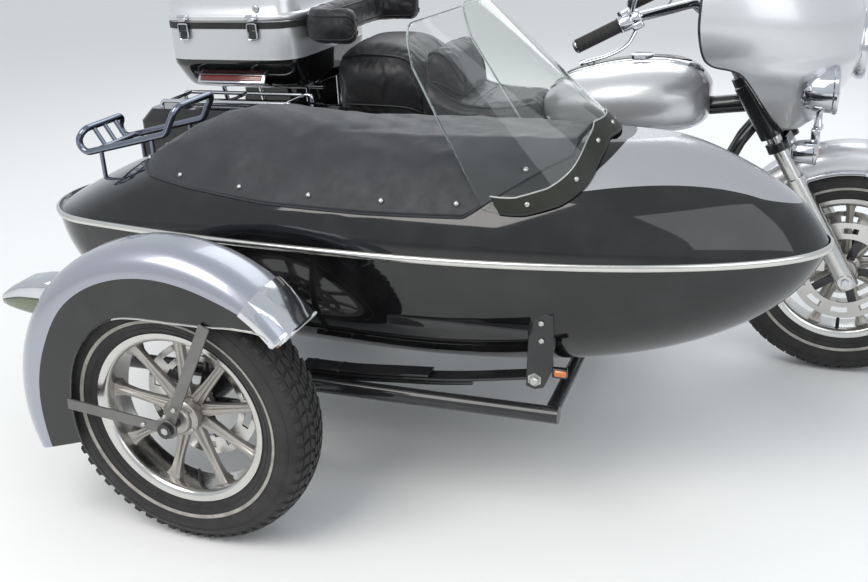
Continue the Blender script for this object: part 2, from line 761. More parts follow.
class OUTFIT_OT_hull(PieceOperator):
    """Paint the hull: gloss black with a tapering silver stripe along the nose"""

    bl_idname = "outfit.hull"
    bl_label = "Hull"

    stripe_tip_x = 1478.0
    stripe_root_x = 985.0
    stripe_tip_half = 62.0
    stripe_root_half = 208.0
    stripe_round = 90.0
    stripe_silver = (0.40, 0.405, 0.42)

    def build(self, settings):
        tree = paint("deck paint", (0.0045, 0.0045, 0.005), 0.1, dust=0.25, even=True)
        x, y, _ = tree.split()
        along = tree.span(x, at(self.stripe_root_x, 0, 0).x, at(self.stripe_tip_x, 0, 0).x)
        off = tree.math("ABSOLUTE", tree.math("SUBTRACT", y, at(0, HULL_Y, 0).y))
        half = tree.span(along, 0.0, 1.0, self.stripe_root_half / 1000, self.stripe_tip_half / 1000)
        reach = tree.span(x, at(self.stripe_tip_x - self.stripe_round, 0, 0).x, at(self.stripe_tip_x, 0, 0).x)
        rounding = tree.math("SQRT", tree.math("SUBTRACT", 1.0, tree.math("MULTIPLY", reach, reach)))
        edge = tree.math("MULTIPLY", half, rounding)
        within = tree.math("LESS_THAN", off, edge)
        from_shield = tree.math("SUBTRACT", x, at(SHIELD_BASE[0], 0, 0).x)
        from_shield = tree.math("DIVIDE", from_shield, SHIELD_FOOT[0] / 1000)
        beside = tree.math("DIVIDE", off, SHIELD_FOOT[1] / 1000)
        outside = tree.math("ADD", tree.math("POWER", from_shield, 2.0), tree.math("POWER", beside, 2.0))
        in_front = tree.math("GREATER_THAN", from_shield, 0.0)
        ahead = tree.math("MULTIPLY", tree.math("GREATER_THAN", outside, 1.0), in_front)
        mask = tree.math("MULTIPLY", within, ahead)
        black = tree.shader.inputs["Base Color"].links[0].from_socket
        tree.link(tree.mix(mask, black, self.stripe_silver), tree.shader.inputs["Base Color"])
        tree.link(tree.span(mask, 0.0, 1.0, 0.0, 0.75), tree.shader.inputs["Metallic"])
        grain = tree.span(tree.noise(60.0), 0.3, 0.8, 0.0, 0.03)
        rough = tree.math("ADD", tree.span(mask, 0.0, 1.0, 0.1, 0.27), grain)
        tree.link(rough, tree.shader.inputs["Roughness"])
        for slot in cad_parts["sidecar_deck"].material_slots:
            slot.material = tree.material


# Height of the cover's crest along the machine, and of its side edge on the deck
COVER_CREST = [
    (-142, 793), (-80, 828), (-16, 862), (64, 893), (140, 910), (211, 913),
    (280, 905), (416, 896), (573, 884), (760, 872), (900, 868), (1000, 860),
]
COVER_EDGE = [
    (-145, 792), (-60, 771), (70, 757), (300, 741), (560, 738), (790, 742), (870, 792), (950, 836),
    (1002, 856),
]


class OUTFIT_OT_cover(PieceOperator):
    """Build the snap-on cloth cover over the cockpit, with its hem, folds and snaps"""

    bl_idname = "outfit.cover"
    bl_label = "Cockpit cover"

    along = 150
    across = 96
    lift = 2.2

    def half_width(self, x, z):
        nose, tail, width = level_values(DECK_LEVELS, z)
        if x >= HULL_WIDEST_X:
            return width * math.sqrt(max(1 - ((x - HULL_WIDEST_X) / (nose - HULL_WIDEST_X)) ** 2, 0.0))
        return plan_width(x, tail, width)

    def point(self, u, v):
        """A point of the cloth: u runs from back to front, v from the right edge to the left."""
        start, end = COVER_CREST[0][0], COVER_CREST[-1][0]
        x = start + u * (end - start)
        crest = float(np.interp(x, *zip(*COVER_CREST)))
        edge_z = min(float(np.interp(x, *zip(*COVER_EDGE))), crest - 4)
        reach = max(self.half_width(x, edge_z), 6.0)
        off = v * reach
        share = abs(v)
        deck = deck_height(x, HULL_Y + (off if share > 0.02 else 0.02 * reach))
        cloth = crest - (crest - edge_z) * share**2.3
        return x, off, max(deck + self.lift, cloth)

    def fold(self, x, off, share):
        """Height of the soft folds that run down from the crest and of the sag between snaps."""
        run = 0.5 + 0.5 * math.sin(x / 47 + 1.3 * math.sin(off / 60) + off / 90)
        small = math.sin(x / 17 + off / 23) * math.sin(off / 31 - x / 53)
        near_edge = math.exp(-(((share - 0.72) / 0.22) ** 2))
        crease = max(0.0, math.sin(x / 71 - off / 38 + 0.7 * math.sin(x / 29))) ** 3
        sag = 4.6 * run * near_edge
        return sag + 1.6 * small * (1 - share**6) + 4.0 * crease * (1 - share**4) * (0.3 + share)

    def build(self, settings):
        slack = settings.cover_slack / 0.006
        rows = []
        for i in range(self.along + 1):
            u = i / self.along
            for j in range(self.across + 1):
                v = 2 * j / self.across - 1
                x, off, z = self.point(u, v)
                edge, end = min(1.0, (1 - abs(v)) * 6), min(1.0, u * 12, (1 - u) * 12 + 0.1)
                z += slack * self.fold(x, off, abs(v)) * edge * end
                rows.append((x, HULL_Y + off, z))
        faces = grid_faces(self.along + 1, self.across + 1)
        cloth = new_piece("cover_cloth", rows, faces, "vinyl", MACHINE)
        relax = cloth.modifiers.new("relax", "SMOOTH")
        relax.factor = 0.5
        relax.iterations = 3
        apply_modifiers(cloth)
        thick = cloth.modifiers.new("thickness", "SOLIDIFY")
        thick.thickness = 0.0016
        thick.offset = 1.0
        apply_modifiers(cloth)
        cloth.data.polygons.foreach_set("use_smooth", [True] * len(cloth.data.polygons))
        hem = self.hem(rows)
        snaps = self.snaps(rows)
        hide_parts("tonneau_cover")

    def edge_points(self, rows):
        columns = self.across + 1
        right = [rows[i * columns] for i in range(self.along + 1)]
        left = [rows[i * columns + self.across] for i in range(self.along + 1)]
        front = [rows[self.along * columns + j] for j in range(columns)]
        back = [rows[j] for j in range(columns)]
        return right, left, front, back

    def hem(self, rows):
        right, left, front, back = self.edge_points(rows)
        loop = right + front[1:-1] + list(reversed(left)) + list(reversed(back))[1:-1]
        loop = [Vector(p) + Vector((0, 0, 1.6)) for p in loop]
        hem = tube_piece("cover_hem", loop, 2.6, "vinyl", MACHINE, count=8, closed=True)
        return hem

    def snaps(self, rows):
        right, left, _, back = self.edge_points(rows)
        places = []
        for edge in (right, left):
            for share in (0.03, 0.16, 0.32, 0.49, 0.65, 0.80, 0.92):
                places.append(Vector(edge[int(share * self.along)]))
        for share in (0.3, 0.5, 0.7):
            places.append(Vector(back[int(share * self.across)]))
        bm = bmesh.new()
        for place in places:
            inward = Vector((0, HULL_Y - place.y, 0))
            inward = inward.normalized() * 16 if inward.length > 20 else Vector((18, 0, 0))
            spot = place + inward
            spot.z = deck_height(spot.x, spot.y) + 7.5
            side = deck_normal(spot.x, spot.y)
            spun(bm, [(0, 4.2), (3, 3.8), (5.6, 2.2), (6.4, 0), (6.4, -3), (0, -3)], spot, side, steps=20)
        snaps = from_bmesh(bm, "cover_snaps", "zinc", MACHINE)
        return snaps


def deck_normal(x, y):
    """Outward direction of the deck at a place in plan."""
    step = 4.0
    slope_x = (deck_height(x + step, y) - deck_height(x - step, y)) / (2 * step)
    slope_y = (deck_height(x, y + step) - deck_height(x, y - step)) / (2 * step)
    return Vector((-slope_x, -slope_y, 1)).normalized()


SHIELD_BASE = (825, 772, 300, 252)
SHIELD_TOP = (625, 1135, 150, 195)
SHIELD_TILT = math.radians(15.0)


def shield_point(share, angle, grow=0.0):
    """A point of the clear bent sheet: share of its height, angle from its middle, outward shift."""
    x, z, depth, width = (a + share * (b - a) for a, b in zip(SHIELD_BASE, SHIELD_TOP))
    ahead = (depth + grow) * math.cos(angle)
    aside = (width + grow) * math.sin(angle)
    return Vector((x + ahead * math.cos(SHIELD_TILT), HULL_Y + aside, z + ahead * math.sin(SHIELD_TILT)))


class OUTFIT_OT_windshield(PieceOperator):
    """Build the clear bent windshield, its edge, the dark strip at its foot and its screws"""

    bl_idname = "outfit.windshield"
    bl_label = "Windshield"

    corner_share = 0.8
    across = 96
    up = 44
    sink = -0.11
    strip_reach = math.radians(84)

    def top_share(self, angle):
        """How high the sheet reaches at an angle: full height in front, rounded off at the ends."""
        side = abs(angle) / (math.pi / 2)
        if side < self.corner_share:
            return 1.0
        return 1.0 - 0.22 * ((side - self.corner_share) / (1 - self.corner_share)) ** 2.5

    def foot_share(self, angle, grow=0.0):
        """The share at which the sheet's foot meets the deck at an angle."""
        low, high = self.sink, 0.5
        for _ in range(22):
            share = (low + high) / 2
            p = shield_point(share, angle, grow)
            if p.z < foot_height(p.x, p.y):
                low = share
            else:
                high = share
        return high + 0.002

    def patch(self, bm, shift, foot, top, angles, steps):
        rows = []
        for angle in angles:
            low, high = foot(angle), top(angle)
            shares = [low + (high - low) * k / steps for k in range(steps + 1)]
            rows.append([bm.verts.new(shield_point(share, angle, shift)) for share in shares])
        return rows

    def shell(self, name, finish, inner, outer, foot, top, angle_reach, steps):
        """A bent wall between two shifts, with closed edges."""
        bm = bmesh.new()
        angles = np.linspace(-angle_reach, angle_reach, self.across + 1)
        faces = [self.patch(bm, shift, foot, top, angles, steps) for shift in (inner, outer)]
        for rows in faces:
            for a, b in zip(rows, rows[1:]):
                for k in range(steps):
                    bm.faces.new((a[k], a[k + 1], b[k + 1], b[k]))
        inside, outside = faces
        for k in range(steps):
            for end in (0, -1):
                bm.faces.new((inside[end][k], inside[end][k + 1], outside[end][k + 1], outside[end][k]))
        for i in range(self.across):
            for k in (0, steps):
                bm.faces.new((inside[i][k], inside[i + 1][k], outside[i + 1][k], outside[i][k]))
        return from_bmesh(bm, name, finish, MACHINE)

    def build(self, settings):
        foot = self.foot_share
        sheet = self.shell("windshield_sheet", "clear", -4.0, 0.0, foot, self.top_share, math.pi / 2, self.up)
        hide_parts("sidecar_windshield")
        self.edge()
        strip_top = lambda angle: foot(angle) + 0.105
        strip = self.shell("windshield_strip_band", "strip", 0.6, 3.2, foot, strip_top, self.strip_reach, 8)
        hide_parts("windshield_strip")
        turns = np.linspace(-self.strip_reach, self.strip_reach, 90)
        strip_foot = lambda angle: foot(angle) + 0.006
        for name, share_at, radius, finish in (
            ("low", strip_foot, 2.4, "rubber"), ("high", strip_top, 1.8, "zinc")
        ):
            path = [shield_point(share_at(a), a, 2.6) for a in turns]
            bead = tube_piece(f"windshield_strip_bead_{name}", path, radius, finish, MACHINE, count=8)
        self.screws(foot)

    def edge(self):
        shares = np.linspace(0.06, self.top_share(math.pi / 2), 16)
        path = [shield_point(share, -math.pi / 2, -2.0) for share in shares]
        for angle in np.linspace(-math.pi / 2, math.pi / 2, 110)[1:-1]:
            path.append(shield_point(self.top_share(angle), angle, -2.0))
        path.extend(shield_point(share, math.pi / 2, -2.0) for share in reversed(shares))
        tube_piece("windshield_edge", path, 2.5, "edge", MACHINE, count=8)

    def screws(self, foot):
        bm = bmesh.new()
        for angle in np.radians([-72, -48, -24, 0, 24, 48, 72]):
            p = shield_point(foot(angle) + 0.055, angle, 3.0)
            out = (shield_point(foot(angle) + 0.055, angle, 13.0) - p).normalized()
            spun(bm, [(0, 3.4), (3.4, 3.1), (5.6, 1.6), (6.2, 0), (6.2, -1.5), (0, -1.5)], p, out, steps=18)
        from_bmesh(bm, "windshield_screws", "zinc", MACHINE)


def foot_height(x, y):
    """The height that the windshield's foot stands on: the deck, with the cloth over it."""
    return deck_height(x, y) + 2.5


# Wheels and tyres
SPOKE_COUNT = 9
WHEELS = {
    "front": (FRONT_AXLE, "front_wheel_body", (1, -1)),
    "rear": (REAR_AXLE, "rear_wheel_body", (-1,)),
    "sidecar": (SIDE_AXLE, "sidecar_wheel_body", (1,)),
}
# The tyre's section from its right bead to the crown, as radius and distance across, and the whole section
CARCASS_SIDE = [
    (208, -43), (216, -46.5), (224, -52), (236, -58.5), (250, -62.5), (264, -64.5),
    (277, -64.2), (288, -61.5), (297, -57), (303.5, -52), (309.5, -44), (314.5, -32), (317.6, -16),
]
CARCASS = [*CARCASS_SIDE, (318.6, 0), *((r, -a) for r, a in reversed(CARCASS_SIDE)), (206, 36), (206, -36)]


def crown_radius(across):
    """Radius of the carcass at a distance across the tread."""
    rows = [(a, r) for r, a in CARCASS[9:18]]
    return float(np.interp(across, *zip(*rows)))


class OUTFIT_OT_tyres(PieceOperator):
    """Build the three tyres: carcass, pale wall line and a road tread laid round it by nodes"""

    bl_idname = "outfit.tyres"
    bl_label = "Tyres"

    blocks_round = 60
    # One pitch of the tread: outline of each block as steps along the tread and distance across
    blocks = [
        [(0.08, -9.0), (0.80, -9.0), (0.92, -1.6), (0.20, -1.6)],
        [(0.20, 1.6), (0.92, 1.6), (0.80, 9.0), (0.08, 9.0)],
        [(-0.02, 12.2), (0.66, 12.2), (0.40, 27.0), (-0.30, 27.0)],
        [(0.36, -27.0), (1.06, -27.0), (1.32, -12.2), (0.62, -12.2)],
        [(-0.38, 30), (0.32, 30), (0.02, 44), (-0.62, 44)],
        [(0.70, -44), (1.34, -44), (1.06, -30), (0.36, -30)],
        [(-0.58, 46.5), (0.06, 46.5), (-0.02, 55.5), (-0.52, 55.5)],
        [(0.80, -55.5), (1.30, -55.5), (1.38, -46.5), (0.74, -46.5)],
    ]

    def build(self, settings):
        for name, (centre, body, _) in WHEELS.items():
            tyre = spun_piece(
                f"{name}_tyre_carcass", [*CARCASS, CARCASS[0]], centre, (0, 1, 0), f"{name}_tyre", body,
                steps=128,
            )
            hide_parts(f"{name}_tyre")
            self.tread(name, centre, body, settings)
            self.wall_marks(name, centre, body)

    def pitch_mesh(self, depth):
        """The blocks of one pitch, standing on the carcass at the top of the wheel."""
        bm = bmesh.new()
        turn = 2 * math.pi / self.blocks_round
        for block in self.blocks:
            low, high = [], []
            middle = sum(a for _, a in block) / 4
            for step, across in block:
                angle = step * turn
                for ring, rise, shrink in ((low, -4.0, 0.0), (high, depth, 0.06)):
                    a = across + (middle - across) * shrink
                    r = crown_radius(max(-56, min(56, a))) + rise
                    t = angle * (1 - shrink) + shrink * turn * sum(s for s, _ in block) / 4
                    ring.append(bm.verts.new(Vector((r * math.sin(t), a, r * math.cos(t)))))
            bm.faces.new(high)
            bm.faces.new(list(reversed(low)))
            for k in range(4):
                bm.faces.new((low[k], low[(k + 1) % 4], high[(k + 1) % 4], high[k]))
        bmesh.ops.recalc_face_normals(bm, faces=bm.faces)
        for vert in bm.verts:
            vert.co = vert.co / 1000
        mesh = bpy.data.meshes.new("pitch")
        bm.to_mesh(mesh)
        bm.free()
        return mesh

    def tread(self, name, centre, body, settings):
        depth = min(settings.tread_depth * 1000, 6.2)
        source = bpy.data.objects.new("pitch", self.pitch_mesh(depth))
        bpy.context.collection.objects.link(source)
        carrier = bpy.data.objects.new(f"{name}_tread", bpy.data.meshes.new(f"{name}_tread"))
        bpy.context.collection.objects.link(carrier)
        modifier = carrier.modifiers.new("tread", "NODES")
        modifier.node_group, sockets = ring_tree()
        modifier[sockets["Block"]] = source
        modifier[sockets["Count"]] = self.blocks_round
        modifier[sockets["Centre"]] = tuple(at(*centre))
        modifier[sockets["Finish"]] = FINISHES[f"{name}_tyre"]
        apply_modifiers(carrier)
        bpy.data.objects.remove(source)
        settle(carrier, f"{name}_tyre", body, sharp=30)

    def wall_marks(self, name, centre, body):
        """Raised rings on both walls."""
        bm = bmesh.new()
        for side in (-1, 1):
            for radius, height in ((229, 1.6), (242, 1.2), (252, 1.2), (283, 1.4)):
                wall = float(np.interp(radius, [r for r, _ in CARCASS[:12]], [-a for _, a in CARCASS[:12]]))
                foot, top = side * (wall - 1.5), side * (wall + height)
                ring = [
                    (radius + r, a)
                    for r, a in ((-1.6, foot), (-1.0, top), (1.0, top), (1.6, foot), (-1.6, foot))
                ]
                spun(bm, ring, centre, (0, 1, 0), steps=96)
        from_bmesh(bm, f"{name}_tyre_rings", f"{name}_tyre", body)


def ring_tree():
    """Geometry nodes that set copies of a mesh round an axle along Y."""
    tree = bpy.data.node_groups.get("ring of copies")
    if tree is None:
        tree = bpy.data.node_groups.new("ring of copies", "GeometryNodeTree")
        inputs = {
            "Geometry": "Geometry", "Block": "Object", "Count": "Int", "Centre": "Vector",
            "Finish": "Material",
        }
        for name, kind in inputs.items():
            tree.interface.new_socket(name=name, in_out="INPUT", socket_type=f"NodeSocket{kind}")
        tree.interface.new_socket(name="Geometry", in_out="OUTPUT", socket_type="NodeSocketGeometry")
        new, link = tree.nodes.new, tree.links.new
        source, result = new("NodeGroupInput"), new("NodeGroupOutput")
        info, points = new("GeometryNodeObjectInfo"), new("GeometryNodePoints")
        instance = new("GeometryNodeInstanceOnPoints")
        index, share, turn = new("GeometryNodeInputIndex"), new("ShaderNodeMath"), new("ShaderNodeCombineXYZ")
        realize, finish = new("GeometryNodeRealizeInstances"), new("GeometryNodeSetMaterial")
        full = new("ShaderNodeMath")
        share.operation, full.operation = "DIVIDE", "MULTIPLY"
        full.inputs[1].default_value = 2 * math.pi
        link(source.outputs["Block"], info.inputs["Object"])
        link(source.outputs["Count"], points.inputs["Count"])
        link(source.outputs["Centre"], points.inputs["Position"])
        link(index.outputs["Index"], share.inputs[0])
        link(source.outputs["Count"], share.inputs[1])
        link(share.outputs["Value"], full.inputs[0])
        link(full.outputs["Value"], turn.inputs["Y"])
        link(points.outputs["Points"], instance.inputs["Points"])
        link(info.outputs["Geometry"], instance.inputs["Instance"])
        link(turn.outputs["Vector"], instance.inputs["Rotation"])
        link(instance.outputs["Instances"], realize.inputs["Geometry"])
        link(realize.outputs["Geometry"], finish.inputs["Geometry"])
        link(source.outputs["Finish"], finish.inputs["Material"])
        link(finish.outputs["Geometry"], result.inputs["Geometry"])
    sockets = {item.name: item.identifier for item in tree.interface.items_tree if item.in_out == "INPUT"}
    return tree, sockets


class OUTFIT_OT_wheels(PieceOperator):
    """Build the three cast wheels with polished rims, hubs, bolts and slotted brake discs"""

    bl_idname = "outfit.wheels"
    bl_label = "Wheels"

    # Radius and distance across of the rim's and the hub's right halves
    rim = even_profile([
        (191.5, -34), (192.5, -40), (197.5, -46), (204, -48), (209, -48.6), (213.6, -49.8),
        (214.6, -48), (214.6, -45), (211, -44.6), (205.6, -44.6), (204.6, -43),
    ])
    hub_profile = even_profile([
        (13.2, -57.5), (24, -57.5), (30, -56), (33, -52), (34, -46), (42, -43),
        (45.5, -39), (45.5, -24), (41, -18),
    ])
    # Columns of a spoke: radius, half width, half depth of the web, half depth of its rib
    stations = [
        (40, 17, 9, 21), (60, 14.5, 8, 19), (95, 11.5, 7, 15.5), (140, 10, 7, 13),
        (172, 11.5, 8.5, 13.5), (188, 16, 14, 15), (194, 22, 18, 18),
    ]

    def build(self, settings):
        for name, (centre, body, disc_sides) in WHEELS.items():
            rim = spun_piece(f"{name}_rim", self.rim, centre, (0, 1, 0), "polished", body, steps=128)
            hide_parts(f"{name}_wheel")
            self.spokes(name, centre, body)
            self.hub(name, centre, body)
            for side in disc_sides:
                self.disc(name, centre, body, side)

    def spokes(self, name, centre, body):
        """Nine cast blades that widen into the rim, each with a raised rib down its middle."""
        bm = bmesh.new()
        for k in range(SPOKE_COUNT):
            angle = math.radians(90) + 2 * math.pi * k / SPOKE_COUNT
            out = outward(angle)
            aside = Vector((-math.sin(angle), 0, math.cos(angle)))
            rings = []
            for radius, width, web, rib in self.stations:
                low = [(-width, -web), (-width * 0.5, -web * 1.05), (-width * 0.3, -rib)]
                low += [(-a, b) for a, b in reversed(low)]
                outline = low + [(-a, -b) for a, b in low]
                middle = Vector(centre) + out * radius
                rings.append([bm.verts.new(middle + aside * a + Vector((0, b, 0))) for a, b in outline])
            for low, high in zip(rings, rings[1:]):
                for i in range(len(low)):
                    j = (i + 1) % len(low)
                    bm.faces.new((low[i], low[j], high[j], high[i]))
            bm.faces.new(list(reversed(rings[0])))
            bm.faces.new(rings[-1])
        blades = from_bmesh(bm, f"{name}_spokes", "cast", body, sharp=50)
        bevel = blades.modifiers.new("soft edges", "BEVEL")
        bevel.width = 0.0022
        bevel.segments = 2
        bevel.limit_method = "ANGLE"
        apply_modifiers(blades)
        blades.data.set_sharp_from_angle(angle=math.radians(60))

    def hub(self, name, centre, body):
        hub = spun_piece(f"{name}_hub", self.hub_profile, centre, (0, 1, 0), "cast", body, steps=72)
        bm = bmesh.new()
        for side in (-1, 1):
            for k in range(5):
                angle = 2 * math.pi * (k + 0.5) / 5
                spot = Vector(centre) + Vector((38.5 * math.cos(angle), side * 42.0, 38.5 * math.sin(angle)))
                spun(bm, [(0, 6.5), (3.6, 6.5), (5.2, 5), (5.2, -2), (0, -2)], spot, (0, side, 0), steps=6)
        from_bmesh(bm, f"{name}_hub_bolts", "zinc", body, sharp=25)
        stem = Vector(centre) + Vector((0, 0, -189.0))
        valve = spun_piece(
            f"{name}_valve", [(0, 30), (3.2, 29), (3.6, 18), (4.8, 16), (5.4, -4), (0, -4)], stem,
            (0, 0, 1), "rubber", body, steps=16,
        )

    def disc(self, name, centre, body, side):
        """A brake disc: carrier with arms and a swept ring with long slots."""
        word = "left" if side > 0 else "right"
        y0, y1 = side * 53.2, side * 57.8
        bm = bmesh.new()
        ring_count = 120
        turns = np.linspace(0, 2 * math.pi, ring_count, endpoint=False)
        grid = []
        for y in (y0, y1):
            layer = []
            for r in (98, 113, 130, 145.5):
                places = [Vector((r * math.cos(t), y, r * math.sin(t))) for t in turns]
                layer.append([bm.verts.new(Vector(centre) + place) for place in places])
            grid.append(layer)
        slots = 10
        per = ring_count // slots
        open_cells = {i for i in range(ring_count) if (i % per) in range(2, per - 3)}
        for i in range(ring_count):
            j = (i + 1) % ring_count
            for b in range(3):
                if b == 1 and i in open_cells:
                    continue
                for layer in grid:
                    bm.faces.new((layer[b][i], layer[b + 1][i], layer[b + 1][j], layer[b][j]))
            for b in (0, 3):
                bm.faces.new((grid[0][b][i], grid[0][b][j], grid[1][b][j], grid[1][b][i]))
            if i in open_cells:
                for b in (1, 2):
                    bm.faces.new((grid[0][b][i], grid[0][b][j], grid[1][b][j], grid[1][b][i]))
                for end, there in ((i, i - 1), (j, j % ring_count)):
                    if there % ring_count not in open_cells:
                        bm.faces.new((grid[0][1][end], grid[0][2][end], grid[1][2][end], grid[1][1][end]))
        from_bmesh(bm, f"{name}_disc_{word}", "polished", body, sharp=30)
        bm = bmesh.new()
        for k in range(5):
            angle = 2 * math.pi * k / 5
            place = Vector(centre) + outward(angle) * 70 + Vector((0, side * 54.6, 0))
            rounded_box(bm, place, (66.0, 4.6, 24.0), 1.2, Matrix.Rotation(-angle, 3, "Y"), 2)
        from_bmesh(bm, f"{name}_disc_arms_{word}", "satin", body)


# Fenders
def fender_section(half_width, crown, edge, far_edge=None, fullness=2.6, count=36):
    """Points (across, radius) of a fender's outer face, from its right edge over the crown."""
    points = []
    for t in np.linspace(math.pi, 0, count):
        c, s = math.cos(t), math.sin(t)
        foot = edge if c < 0 or far_edge is None else far_edge
        across = half_width * math.copysign(abs(c) ** (2 / fullness), c)
        points.append((across, foot + (crown - foot) * s ** (2 / fullness)))
    return points


def fender_point(centre, angle, across, radius):
    return Vector(centre) + Vector((radius * math.cos(angle), across, radius * math.sin(angle)))


def fender_piece(name, centre, angles, section_at, finish, body, inner_finish="inner", wall=2.6, steps=72):
    """A pressed fender with a wall: painted outside, dark inside, its ends and lips closed."""
    verts = []
    turns = np.linspace(*angles, steps + 1)
    for shift in (0.0, -wall):
        for degrees in turns:
            section = section_at(degrees)
            for k, (across, radius) in enumerate(section):
                before, after = section[max(k - 1, 0)], section[min(k + 1, len(section) - 1)]
                way = Vector((after[0] - before[0], after[1] - before[1])).normalized()
                verts.append(
                    fender_point(
                        centre, math.radians(degrees), across - shift * way.y, radius + shift * way.x
                    )
                )
    rows, columns = steps + 1, len(section_at(angles[0]))
    half = rows * columns
    outer = grid_faces(rows, columns)
    inner = [tuple(half + i for i in reversed(face)) for face in outer]
    rim = []
    for r in range(rows - 1):
        for c in (0, columns - 1):
            a, b = r * columns + c, (r + 1) * columns + c
            rim.append((a, b, half + b, half + a))
    for c in range(columns - 1):
        for r in (0, rows - 1):
            a = r * columns + c
            rim.append((a, a + 1, half + a + 1, half + a))
    piece = new_piece(name, verts, outer + inner + rim, finish, body)
    recalc(piece)
    piece.data.materials.append(FINISHES[inner_finish])
    for k in range(len(outer), len(outer) + len(inner)):
        piece.data.polygons[k].material_index = 1
    return piece


def edge_bead(name, centre, angles, side, section_at, thick, finish, body, steps=80):
    """A thin rolled edge along a fender's lip."""
    path = []
    for degrees in np.linspace(*angles, steps):
        across, radius = section_at(degrees)[-1 if side > 0 else 0]
        path.append(fender_point(centre, math.radians(degrees), across, radius))
    return tube_piece(name, path, thick, finish, body, count=8)


